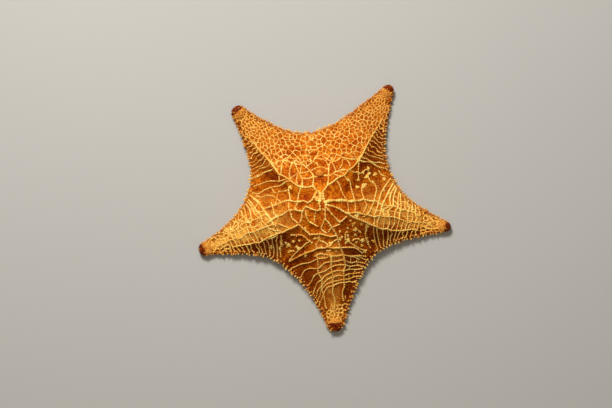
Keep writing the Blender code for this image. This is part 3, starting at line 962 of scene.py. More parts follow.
# The finer ridges of the disc, in the same way.
FINE = (
    (0.8, -47, 37, -43, 41, -38, 42, -32, 41, -27, 40, -25, 38.5, -20, 37.5),
    (0.8, -40, 28, -39.5, 33, -39, 38, -38, 42, -34, 45, -28, 44.5, -24, 45, -21.5, 43),
    (0.8, -31, 23, -31.5, 28, -31, 33, -30, 38, -30, 41),
    (0.9, -22, 44, -21, 41, -19, 38, -14, 34.5, -11, 31.5, -9, 29, -8, 26, -8.5, 20, -9, 17),
    (0.7, -26, 44, -27, 40, -26, 38, -24, 33, -22, 29),
    (1.1, -22, 29, -20.5, 26, -19.5, 22, -19.3, 16),
    (0.7, -20, 37, -21, 32, -21, 29),
    (0.9, -31, 24, -28, 26, -24, 29, -20, 29.5, -15, 31, -11, 32.5, -8, 34, -3, 35.3, 1, 35, 6, 33),
    (1.0, -20, 25, -14, 24.5, -9, 26, -5, 26.5, 0, 27.5, 6, 27, 9, 27.5, 13, 30.5, 20, 32.5, 25, 33),
    (0.7, -24, 28, -25, 24, -26, 20),
    (0.9, 10, 46, 8, 42, 6.5, 36, 6.5, 32, 6, 27, 5.5, 22, 4.5, 18),
    (0.7, 13, 31, 18, 30, 22, 28.5),
    (0.7, 11, 29, 14, 27, 20, 26.5),
    (0.8, 16, 33, 19, 37, 20, 43),
    (0.9, 9, 41, 14, 42, 19, 45, 24, 44, 30, 43, 36, 43),
    (0.7, 9, 41, 11, 37, 13, 32),
    (0.7, 20, 43, 25, 42, 28, 36),
    (0.7, -13, 44, -10, 42, -5, 39, -3, 35.5),
    (0.7, 2, 46, 6, 43, 9, 41),
    (0.8, -50, 16, -42, 17, -38, 19.5, -35, 21.5, -31, 22),
    (0.6, -42, 27, -41.5, 22),
    (0.9, -33, 15, -32, 8, -31.5, 3),
    (0.9, -20.5, 15, -22.5, 9, -24, 4, -25, -1, -27, -5),
    (0.7, -46, -1, -44, 6, -42, 11, -36, 12, -33, 14),
    (0.8, 14, 22, 17, 18, 19, 13, 21, 8, 24, 3, 25.5, -3, 25.5, -9),
    (0.8, 22, 27, 25, 23, 27.5, 21, 28, 17, 29.5, 11, 31, 5, 32.5, -3, 32.5, -9),
    (0.8, 30, 31, 36, 30, 40, 30, 43, 33, 47, 34),
    (0.7, 36, 42, 36, 36, 36, 30, 36, 23),
    (0.8, 45, 28, 48, 22, 52, 20, 54.5, 15, 53, 8, 50, 0, 46, -8, 43, -11, 39, -13),
    (0.7, 57, 33, 60, 29, 66, 27),
    (0.7, 40, 20, 39, 12, 41, 4, 43, -2, 40, -9),
    (0.7, -33, 1, -32, -5),
    (0.8, -50, 2, -48, -5, -47, -10, -43, -13, -43, -18, -45, -22, -42, -28),
    (0.8, -30, -9, -29, -14, -26, -17, -23, -20),
    (1.2, -19.5, -7, -20, -14, -22, -19),
    (0.6, -6, -8, -7, -13, -8, -18),
    (0.7, -43, -20, -38, -22, -34, -23.5, -30, -24),
    (0.7, -38, -28, -46, -26, -52, -24),
    (0.8, 5, -29, 1, -27, -1, -24, 1, -19, 3, -14),
    (0.8, -31, -31, -25, -31, -20, -31, -17, -32, -14, -35, -12, -36.5, -16, -39.5, -20, -43.5, -25, -45),
    (0.7, -3, -29.5, -3, -35, -6, -40, -5, -43.5),
    (0.8, -3, -36, 1, -37, 4, -39, 7, -41, 11, -37, 15, -35),
    (0.9, -40, -31, -40, -40, -41, -46, -41, -54),
    (0.8, 18, -20, 12, -22, 8.5, -24, 6, -28),
    (0.9, 43, -20, 43.5, -26, 43, -30, 44, -35, 46, -40, 49, -45),
    (0.8, 30, -37, 32, -35, 36, -35, 37, -37),
    (0.6, 23, -29, 23, -36),
    (0.8, -50, 16, -57, 13, -64, 10, -70, 11),
    (0.8, -40, 1, -47, 7, -55, 8, -60, 6, -66, 8),
    (0.7, -58, -5, -63, 2, -68, 6),
    (0.8, -34, 24, -42, 22, -52, 22, -60, 20, -69, 17),
    (0.6, -50, 16, -47, 11, -43, 10),
    (0.8, -20, -43.5, -27, -50, -33, -58),
    (0.8, 30, -52, 38, -52, 45, -53),
    (0.8, 25, -36, 31, -41, 38, -45, 44, -47),
    (0.8, -8, -52, -1, -49.5, 6, -50, 12, -51, 21, -51, 30, -52, 38, -56),
    (0.9, -50, 33, -56, 31, -62, 27.5, -70, 25, -75, 24),
)

# Swellings where plates are heaped: (x, y, size), and patches of them: (middle, spread, count).
LUMPS = (
    (38, -21, 1.2), (37, -28, 1.4), (33, -26, 1.7), (33, -31, 1.2), (40, -42, 1.4), (46, -38, 1.5),
    (26.5, -35, 1.2), (24, -38, 1.3), (18, -28, 1.2), (28, -17, 1.1), (26, -24, 1.1), (30, -22, 1.0),
    (-33, -42, 1.6), (-29, -38, 1.8), (-24, -45, 1.7), (-32, -48, 1.7), (-28, -47, 1.3), (-17, -25, 1.4),
    (35, 16, 1.6), (42, 18, 1.9), (36, 23, 1.4), (46, 34, 1.8), (45, 27, 1.9), (55, 29, 1.8), (63, 25, 1.6),
    (26, 23, 1.5), (41, 30, 1.4), (36, 30, 1.4), (28, 33, 1.2), (-31, 16, 1.6), (-26, 20, 1.5),
    (-40, 45, 1.5), (7, -46, 1.3), (14, -47, 1.3), (-7, -34, 1.2), (-10, -38, 1.2), (-4, -34, 1.1),
    (7, -38, 1.2), (-45, -13, 1.8), (-31, -7, 1.6), (-26, -6, 1.6), (16.5, -18, 1.6), (-5, 4, 1.8),
    (-2, 9, 1.9), (-7, 7, 1.6), (0, 4, 1.6), (-41, -46, 1.6), (-40, -38, 1.3), (-50, -44, 1.4),
    (43.5, -28, 1.3), (44, -35, 1.4),
)
WEBS = (((36, -33), (9, 8), 13), ((-30, -43), (10, 5), 9), ((47, 24), (8, 6), 8), ((4, -42), (9, 4), 5))


@dataclass(frozen=True)
class Bar:
    """A run of joined plates through plan points, with its half-width and height."""

    half: HalfArm
    points: Array
    width: float
    height: float
    tone: float
    strong: bool


def wander(points: Array, size: float = 1.1) -> Array:
    """Plan points moved by slow waves, so that no line of the net is ruled straight.

    Args:
        points: plan points in a row.
        size: how far the waves carry them, in millimetres; less near the outline.

    Returns:
        The moved points.
    """
    x, y = points[:, 0], points[:, 1]
    dx = np.sin(x / 5.3 + 1.3 * np.sin(y / 7.1)) + 0.6 * np.sin(y / 3.1 + 1.1)
    dy = np.sin(y / 4.7 + 1.7 * np.sin(x / 6.3)) + 0.6 * np.sin(x / 2.9 + 2.3)
    edge, _ = FORM.measure(points)
    return points + size * 0.5 * np.stack([dx, dy], axis=1) * ramp(edge, 1, -0.3)[:, None]


def curve_through(points: Array, steps: int = 6) -> Array:
    """A smooth line through points, each span a cubic whose end slopes come from its neighbours.

    Args:
        points: two or more plan points.
        steps: how many points make a span.

    Returns:
        The line's points.
    """
    if len(points) < 3:
        part = np.linspace(0, 1, steps + 1)[:, None]
        return points[0] + part * (points[-1] - points[0])
    ends = joined([[2 * points[0] - points[1]], points, [2 * points[-1] - points[-2]]])
    before, start, end, after = ends[:-3, None], ends[1:-2, None], ends[2:-1, None], ends[3:, None]
    t = np.linspace(0, 1, steps, endpoint=False)[None, :, None]
    spans = 0.5 * (2 * start + (end - before) * t + (2 * before - 5 * start + 4 * end - after) * t ** 2
                   + (3 * start - before - 3 * end + after) * t ** 3)
    return joined([spans.reshape(-1, 2), points[-1:]])


def cell_borders(seeds: Array) -> tuple[Array, Array]:
    """Borders of the cells round seeds: lines between the middles of the circles through three seeds.

    Args:
        seeds: plan points.

    Returns:
        The two ends of each border, and the larger radius of its two circles.
    """
    corners, _, faces, *_ = delaunay_2d_cdt([Vector(seed) for seed in seeds.tolist()], [], [], 0, 1e-4)
    corners = np.array(corners)
    faces = np.array(faces)
    first, second, third = (corners[faces[:, k]] for k in (0, 1, 2))
    b, c = second - first, third - first
    twice = 2 * (b[:, 0] * c[:, 1] - b[:, 1] * c[:, 0])
    twice = np.where(np.abs(twice) < 1e-3, 1e-3, twice)
    bb, cc = (b ** 2).sum(axis=1), (c ** 2).sum(axis=1)
    shift = np.stack([c[:, 1] * bb - b[:, 1] * cc, b[:, 0] * cc - c[:, 0] * bb], axis=1)
    middles = first + shift / twice[:, None]
    radius = np.linalg.norm(middles - first, axis=1)
    sides = np.sort(faces[:, [[0, 1], [1, 2], [2, 0]]].reshape(-1, 2), axis=1)
    order = np.lexsort((sides[:, 1], sides[:, 0]))
    shared = (sides[order][:-1] == sides[order][1:]).all(axis=1)
    pairs, mates = order[:-1][shared] // 3, order[1:][shared] // 3
    return np.stack([middles[pairs], middles[mates]], axis=1), np.maximum(radius[pairs], radius[mates])


@dataclass
class Net:
    """The back's net: strong ridges along the arms, rows across them, and links between."""

    halves: list[HalfArm]
    material: Material
    random: np.random.Generator
    first_row: float = 52.0
    last_row: float = 12.0            # left free before the arm's end
    row_gap: tuple[float, float] = (3.4, 5.6)
    end_gap: float = 4.7
    wedge_gap: float = 6.8
    wedge_from: float = 37.0          # the cells between the two front arms begin this far from the hub
    step: float = 0.75
    bead: float = 2.6
    jitter: float = 0.16
    edge_jitter: float = 0.035        # how far a line's edge value may be off
    cells_from: float = 0.78          # small cells replace the rows from this part of the arm on
    margin_line: float = 0.975        # edge value of the outermost line
    largest_circle: float = 6.5       # borders of larger cells are left out
    border_lengths: tuple[float, float] = (0.5, 14.0)
    bars: list[Bar] = field(default_factory=list)
    knots: list[tuple[HalfArm, Array, float]] = field(default_factory=list)
    disc_points: Array | None = None  # plan points along the disc's ridges, where other bars may join

    INNER_SPANS = 2       # spans between lengthwise lines, inside the shoulder and outside it
    OUTER_SPANS = 3
    RIDGE_SPANS = 6       # and from a crest ridge to the margin
    ROW_STEPS = 120
    CELLS_ONLY = 0.5      # a flank with a larger share of cross bars is all cells
    LINKED = 0.3          # and one with a larger share than this has lines between its rows

    # Where a bar's section lies, as parts of its half-width and its height.
    SECTION = ((-1, -0.4), (-0.86, 0.35), (-0.48, 0.86), (0, 1.05), (0.48, 0.86), (0.86, 0.35), (1, -0.4))

    # The shoulder ridge: distances along the arm, and its edge values there.
    SHOULDER = ((0, 22, 31, 45, 60, 78, 100, 130), (0.08, 0.1, 0.19, 0.3, 0.42, 0.5, 0.55, 0.6))

    def plan(self) -> None:
        """Lay out every bar."""
        lines = [curve_through(np.array(places, float).reshape(-1, 2)) for _, *places in STRONG + FINE]
        self.disc_points = joined(lines)
        for half in self.halves:
            self.lay_flank(half)
        for half in self.halves:
            if half.side is Side.RIGHT and not half.arm.ridge:
                self.lay_crest(half)
        self.lay_disc()

    def nearest(self, point: Array, reach: float = 9.0) -> Array:
        """The nearest point of the disc's ridges if it is in reach, otherwise the point itself."""
        away = np.linalg.norm(self.disc_points - point, axis=1)
        return self.disc_points[np.argmin(away)] if away.min() < reach else point

    def row_starts(self, arm: Arm) -> list[float]:
        """Where the rows leave the midline: gaps that shrink towards the arm's end.

        Args:
            arm: the arm.

        Returns:
            Distances from the hub.
        """
        low, high = self.row_gap
        starts = [self.first_row]
        while starts[-1] < arm.reach - self.last_row:
            starts.append(starts[-1] + low + high * (1 - starts[-1] / arm.reach) ** 1.8)
        return starts

    def levels(self, start: float) -> Array:
        """Edge values of the lengthwise lines at a row, from the crest by the shoulder to the margin.

        Args:
            start: where the row leaves the midline.

        Returns:
            The values.
        """
        shoulder = float(np.interp(start, *self.SHOULDER))
        inner = np.linspace(0, shoulder, self.INNER_SPANS + 1)
        outer = np.linspace(shoulder, self.margin_line, self.OUTER_SPANS + 1)
        return joined([inner, outer[1:]])

    def ridge_levels(self, half: HalfArm, start: float) -> Array:
        """Edge values of even steps from the crest ridge to the margin."""
        half_width = float(FORM.half_width(half.arm, np.array(start)))
        return np.linspace(float(half.inner(start)) / half_width, self.margin_line, self.RIDGE_SPANS + 1)

    def row_knots(self, half: HalfArm, start: float, gap: float, wanted: Array) -> Array:
        """Plan points where a row crosses the lengthwise lines, each a little out of place.

        Args:
            half: the flank; its points are the looser the more links it has.
            start: where the row leaves the midline.
            gap: the distance to the next row.
            wanted: the lines' edge values.

        Returns:
            The points.
        """
        draw = self.random
        loose = 1 + half.share
        parts = np.linspace(0, 1, self.ROW_STEPS)
        wanted[1:-1] += draw.uniform(-self.edge_jitter, self.edge_jitter, len(wanted) - 2) * loose
        edge = FORM.measure(half.row(np.full(self.ROW_STEPS, start), parts))[0]
        spots = np.interp(wanted, np.maximum.accumulate(edge), parts)
        shifts = start + gap * self.jitter * loose * draw.normal(size=len(wanted))
        if wanted[0] == 0:
            shifts[0] = start
        return half.row(shifts, spots)

    def lay_flank(self, half: HalfArm) -> None:
        """A flank's net: rows across it or many-sided cells, and small cells at the arm's end.

        Args:
            half: the flank.
        """
        starts = self.row_starts(half.arm)
        if half.share > self.CELLS_ONLY:
            fan = list(np.arange(24.0, starts[0] - 3, self.wedge_gap))
            self.lay_cells(half, fan + starts, 0.5)
            return
        near = [start for start in starts if start < self.cells_from * half.arm.reach]
        nodes = []
        for start, after in zip(near, starts[1:]):
            wanted = self.ridge_levels(half, start) if half.arm.ridge else self.levels(start)
            nodes.append(self.row_knots(half, start, after - start, wanted))
        if half.arm.ridge:
            self.lay_rows(half, near[1:], nodes[1:], 0)
            ridge = np.array([self.nearest(nodes[0][0])] + [line[0] for line in nodes])
            self.add(half, ridge, 0.75, 1.2, True)
        else:
            self.lay_rows(half, near, nodes, self.INNER_SPANS)
            self.lay_lines(half, near, nodes)
        self.lay_cells(half, list(np.arange(near[-1] + 1.5, half.arm.reach - 5, self.end_gap)), 0.6)

    def cell_seeds(self, half: HalfArm, starts: list[float]) -> Array:
        """Seeds of the cells, in staggered rows across the flank, as far apart as the rows are.

        Args:
            half: the flank.
            starts: where the rows of seeds leave the midline.

        Returns:
            Plan points.
        """
        draw = self.random
        seeds = []
        for number, start in enumerate(starts):
            gap = starts[number + 1] - start if number + 1 < len(starts) else self.row_gap[0]
            foot = half.row(np.array(start), np.array(1.0))
            length = float(np.linalg.norm(foot - half.arm.axis(np.array(start))))
            count = max(2, round(1.12 * length / gap))
            inner = float(half.inner(start)) / length
            ranks = np.arange(math.floor(inner * count) - 1, count + 3)
            parts = (ranks - 0.25 + 0.5 * (number % 2) + draw.normal(size=len(ranks)) * 0.2) / count
            place = start + draw.normal(size=len(parts)) * 0.22 * gap
            spots = half.row(place, parts)
            if start < self.first_row - 1:
                spots = spots[(spots @ unit(half.web) > self.wedge_from) & (parts < 1.15)]
            seeds.append(spots)
        return joined(seeds)

    def in_place(self, half: HalfArm, ends: Array) -> Array:
        """Which borders lie on the flank: inside the outline, past the crest and short of the end.

        Args:
            half: the flank.
            ends: the two ends of each border.

        Returns:
            A flag for each.
        """
        edge = FORM.measure(ends)[0]
        along, across = half.arm.place(ends)
        across = across * half.side.value - half.inner(along)
        web = unit(half.web)
        past_web = (web[0] * ends[..., 1] - web[1] * ends[..., 0]) * half.side.value
        inside = (edge < 1) & (across > -1.0) & (along < half.arm.reach - 7) & (past_web < 0.6)
        return inside.all(axis=1)

    def lay_cells(self, half: HalfArm, starts: list[float], width: float) -> None:
        """Bars along the borders of cells, with knots on them and links to the disc's ridges.

        Args:
            half: the flank.
            starts: where the rows of seeds leave the midline.
            width: half-width of the bars at the first row.
        """
        draw = self.random
        ends, radius = cell_borders(self.cell_seeds(half, starts))
        size = np.linalg.norm(ends[:, 0] - ends[:, 1], axis=1)
        shortest, longest = self.border_lengths
        fits = (size > shortest) & (size < longest) & (radius < self.largest_circle)
        ends = ends[fits & self.in_place(half, ends)]
        for line, place in zip(ends, half.arm.place(ends)[0].mean(axis=1)):
            thick = width * draw.uniform(0.75, 1.3) + self.thicker(half, place)
            self.add(half, line, thick, draw.uniform(0.8, 1.15), waves=0.4)
            if draw.random() < 0.55:
                self.knots.append((half, line[0], 0.65 + 0.4 * draw.random()))
        corners, uses = np.unique(ends.reshape(-1, 2).round(4), axis=0, return_counts=True)
        web = unit(half.web)
        by_web = np.abs(web[0] * corners[:, 1] - web[1] * corners[:, 0]) < 3.2
        for point in corners[(uses == 1) | by_web & (half.share > self.CELLS_ONLY)]:
            goal = self.nearest(point, 7.0)
            if not np.allclose(goal, point):
                self.add(half, np.array([point, goal]), width, 1.0, waves=0.6)
        if half.share > self.CELLS_ONLY:
            self.disc_points = joined([self.disc_points, ends.reshape(-1, 2)])

    def lay_rows(self, half: HalfArm, starts: list[float], nodes: list[Array], shoulder: int) -> None:
        """The rows, most of them whole, some from the shoulder outwards only, with knots on them.

        Args:
            half: the flank.
            starts: where the rows leave the midline.
            nodes: each row's points on the lengthwise lines.
            shoulder: the number of the shoulder's line.
        """
        draw = self.random
        for start, line in zip(starts, nodes):
            if start > half.arm.bare * half.arm.reach:
                continue
            first = 0 if draw.random() < 0.88 else shoulder
            width = 0.56 + 0.16 * draw.random() + self.thicker(half, start)
            self.add(half, line[first:], width, 1.05, waves=0.7)
            for level in range(first, len(line) - 1):
                chance = 0.85 if level == shoulder else 0.6
                if draw.random() < chance:
                    self.knots.append((half, line[level], 0.62 + 0.35 * draw.random()))

    def thicker(self, half: HalfArm, start: float) -> float:
        """How much wider the bars are towards the arm's end, and on a golden flank."""
        place = start / half.arm.reach
        golden = half.arm.gold * (half.share > self.LINKED) * (1 - 0.75 * float(ramp(place, 0.55, 0.25)))
        return 0.32 * float(ramp(place, 0.55, 0.35)) + 0.42 * golden

    def line_chance(self, half: HalfArm, level: int, start: float) -> float:
        """How likely a lengthwise line is to go on past a row.

        Args:
            half: the flank.
            level: the line's number from the crest.
            start: where the row leaves the midline.

        Returns:
            A chance from 0 to 1.
        """
        if level == self.INNER_SPANS:
            return 1.0
        linked = half.share > self.LINKED
        if linked and start > 0.72 * half.arm.reach:
            return 0.85
        return half.share if level > self.INNER_SPANS else 0.8 * linked

    def lay_lines(self, half: HalfArm, starts: list[float], nodes: list[Array]) -> None:
        """Lengthwise lines: the shoulder whole, the others in broken runs, and slanting links.

        Args:
            half: the flank.
            starts: where the rows leave the midline.
            nodes: each row's points on the lengthwise lines.
        """
        draw = self.random
        last = self.INNER_SPANS + self.OUTER_SPANS
        for level in range(1, last):
            whole = level == self.INNER_SPANS
            width, height = (0.8, 1.05) if whole else (0.46, 0.85)
            run = []
            for number, start in enumerate(starts):
                chance = self.line_chance(half, level, start)
                run.append(nodes[number][level])
                if draw.random() > chance or number == len(starts) - 1:
                    if level <= self.INNER_SPANS and np.allclose(run[0], nodes[0][level]):
                        run.insert(0, self.nearest(run[0]))
                    self.add(half, np.array(run), width + self.thicker(half, start), height, whole)
                    run = []
                    if chance > 0 and number < len(starts) - 1 and draw.random() < 0.3:
                        run = [nodes[number][level]]
        for line, after in zip(nodes, nodes[1:]):
            if half.share > self.LINKED and draw.random() < 0.3:
                level = int(draw.integers(0, last))
                self.add(half, np.array([line[level], after[level + 1]]), 0.42, 0.7)

    def lay_crest(self, half: HalfArm) -> None:
        """The ridge along the arm's midline.

        Args:
            half: the flank.
        """
        starts = np.array(self.row_starts(half.arm))
        wobble = self.random.normal(size=len(starts)) * 0.7
        line = half.arm.axis(starts) + wobble[:, None] * half.arm.left
        line = joined([self.nearest(line[0], 12.0)[None], line])
        self.add(half, line[:int(0.85 * len(line))], 0.85, 1.1, True)

    def lay_disc(self) -> None:
        """The ridges and lumps of the disc, each given to the arm that it lies on."""
        for strong, ridges in ((True, STRONG), (False, FINE)):
            scale, height, chance = (0.84, 1.3, 0.75) if strong else (0.92, 1.1, 0.55)
            for width, *places in ridges:
                line = np.array(places, float).reshape(-1, 2)
                half = self.owner(line.mean(axis=0))
                self.add(half, line, scale * width, height, strong, waves=0.5)
                for point in line[1:-1]:
                    if self.random.random() < chance:
                        self.knots.append((half, point, 0.95 + 0.35 * self.random.random()))
        draw = self.random
        webs = [(*(np.array(middle) + draw.normal(size=2) * wide), draw.uniform(1.1, 2.1))
                for middle, wide, count in WEBS for _ in range(count)]
        for x, y, size in LUMPS + tuple(webs):
            self.lay_lump(np.array([x, y]), size)

    def lay_lump(self, point: Array, size: float) -> None:
        """Two short thick bars across each other.

        Args:
            point: where they cross.
            size: about their half-length.
        """
        draw = self.random
        turn = draw.uniform(0, math.pi)
        for _ in range(2):
            ray = size * draw.uniform(0.8, 1.6) * np.array([math.cos(turn), math.sin(turn)])
            line = np.array([point - draw.uniform(0.2, 1) * ray, point, point + ray])
            self.add(self.owner(point), line, 0.78 * size, 0.5 * size, waves=0.7)
            turn += draw.uniform(0.8, 1.8)

    def owner(self, point: Array) -> HalfArm:
        """The flank a plan point lies on, by its direction from the hub."""
        arm = arm_under(point)
        side = Side.LEFT if point @ arm.left > 0 else Side.RIGHT
        return next(half for half in self.halves if half.arm is arm and half.side is side)

    def add(self, half: HalfArm, points: Array, width: float, height: float, strong: bool = False,
            waves: float = 1.1) -> None:
        """Keep a bar if it has at least two points.

        Args:
            half: its flank.
            points: plan points that it runs through.
            width: its half-width.
            height: its height.
            strong: whether the skin hangs from it.
            waves: how far it strays from its curve.
        """
        if len(points) > 1:
            tone = self.random.uniform(0.7, 1.0)
            self.bars.append(Bar(half, wander(curve_through(points), waves), width, height, tone, strong))

    def strong_points(self) -> Array:
        """Plan points of the strong ridges, close together."""
        return joined([bar.points for bar in self.bars if bar.strong])

    def stations(self, bars: list[Bar]) -> tuple[Array, Array, Array]:
        """Even steps along the bars, measured over the skin.

        Args:
            bars: the bars.

        Returns:
            Plan points, the number of the bar that each lies on, and their distances along it.
        """
        plans = []
        owners = []
        distances = []
        for number, bar in enumerate(bars):
            spans = np.linalg.norm(np.diff(FORM.skin(bar.points), axis=0), axis=1)
            length = joined([[0], np.cumsum(spans)])
            count = max(3, int(math.ceil(length[-1] / self.step)) + 1)
            at = np.linspace(0, length[-1], count)
            plans.append(np.stack([np.interp(at, length, bar.points[:, k]) for k in (0, 1)], axis=1))
            owners.append(np.full(count, number))
            distances.append(at)
        return joined(plans), joined(owners), joined(distances)

    def sweep(self, bars: list[Bar]) -> tuple[Cloud, Array]:
        """Carry a low rounded section along each bar of one arm, over the skin.

        The section is seven points: a crown, two shoulders and a foot sunk into the skin. Its size
        swells and shrinks along the bar, so that the plates show as beads.

        Args:
            bars: the bars to sweep.

        Returns:
            The cloud, and the stations' plan points.
        """
        arm = bars[0].half.arm
        plan, owner, distance = self.stations(bars)
        place = FORM.skin(plan)
        normal = FORM.normal(plan)
        same = owner[1:] == owner[:-1]
        tangent = np.zeros_like(place)
        difference = np.where(same[:, None], np.diff(place, axis=0), 0)
        tangent[1:] += difference
        tangent[:-1] += difference
        side = unit(np.cross(normal, unit(tangent)))

        phase = self.random.uniform(0, math.pi, len(bars))[owner]
        bead = np.abs(np.cos(math.pi * distance / self.bead + phase))
        first = joined([[True], ~same])
        last = joined([~same, [True]])
        close = np.where(first | last, 0.7, 1.0)
        slow = 1 + 0.22 * np.sin(plan[:, 0] / 1.9 + phase) * np.sin(plan[:, 1] / 2.3 + 2 * phase)
        width = np.array([bar.width for bar in bars])[owner] * (0.66 + 0.5 * bead) * close * slow
        height = np.array([bar.height for bar in bars])[owner] * (0.66 + 0.44 * bead) * close
        section = np.array(self.SECTION)
        shift = section[None, :, 0, None] * (width[:, None] * side)[:, None]
        rise = section[None, :, 1, None] * (height[:, None] * normal)[:, None]
        places = place[:, None] + shift + rise

        reach = FORM.measure(plan)[1]
        uv = unwrap_back(arm, plan)[:, None] + 0.0012 * section[None]
        tone = (0.12 + 0.88 * np.clip(section[:, 1] * 1.15, 0, 1))[None] * (0.42 + 0.58 * bead)[:, None]
        # painted shade: the plates grow darker towards the arm's end
        tone = tone * (np.array([bar.tone for bar in bars])[owner] * arm.shaded_towards_end(reach))[:, None]

        points = len(section)
        start = np.flatnonzero(same)[:, None] * points
        here = np.arange(points)[None]
        after = (here + 1) % points
        corners = (start + here, start + here + points, start + after + points, start + after)
        quads = np.stack(corners, axis=-1)
        lids = np.flatnonzero(first)[:, None] * points + here
        ends = np.flatnonzero(last)[:, None] * points + here[:, ::-1]
        cloud = Cloud(
            places.reshape(-1, 3), [quads.reshape(-1, 4), joined([lids, ends])],
            uv.reshape(-1, 2), tone.ravel(), np.repeat(reach, points))
        return cloud, plan

    def build(self) -> Array:
        """Make one piece of net for each arm.

        Returns:
            Plan points along all bars.
        """
        plans = []
        for arm in ARMS:
            cloud, plan = self.sweep([bar for bar in self.bars if bar.half.arm is arm])
            cloud.build(f"net_{arm.number}", self.material, "plate")
            plans.append(plan)
        return joined(plans)


# ---- spines and papillae

def loose_grid(draw: np.random.Generator, first: Array, second: Array, stagger: float,
               size: float | list[float]) -> Array:
    """Pairs on a grid whose every other row is moved along, each thrown off by a random step.

    Args:
        draw: the source of chance.
        first: the rows' values.
        second: the values along a row.
        stagger: how far every other row is moved.
        size: the steps' size.

    Returns:
        The pairs.
    """
    grid = np.stack(np.meshgrid(first, second, indexing="ij"), axis=-1)
    grid[1::2, :, 1] += stagger
    grid = grid.reshape(-1, 2)
    return grid + draw.normal(size=grid.shape) * size


@dataclass(frozen=True)
class SpineRow:
    """One row of spines along the margin."""

    level: float          # height, as a part of the margin wall's
    size: float
    tilt: float
    inset: float          # from the outline inwards
    spacing: float
    shift: float          # along the row, in steps
    strip: float          # across the unwrap's strip
    below: bool = False

    LENGTH = 3.7
    RADIUS = 1.25


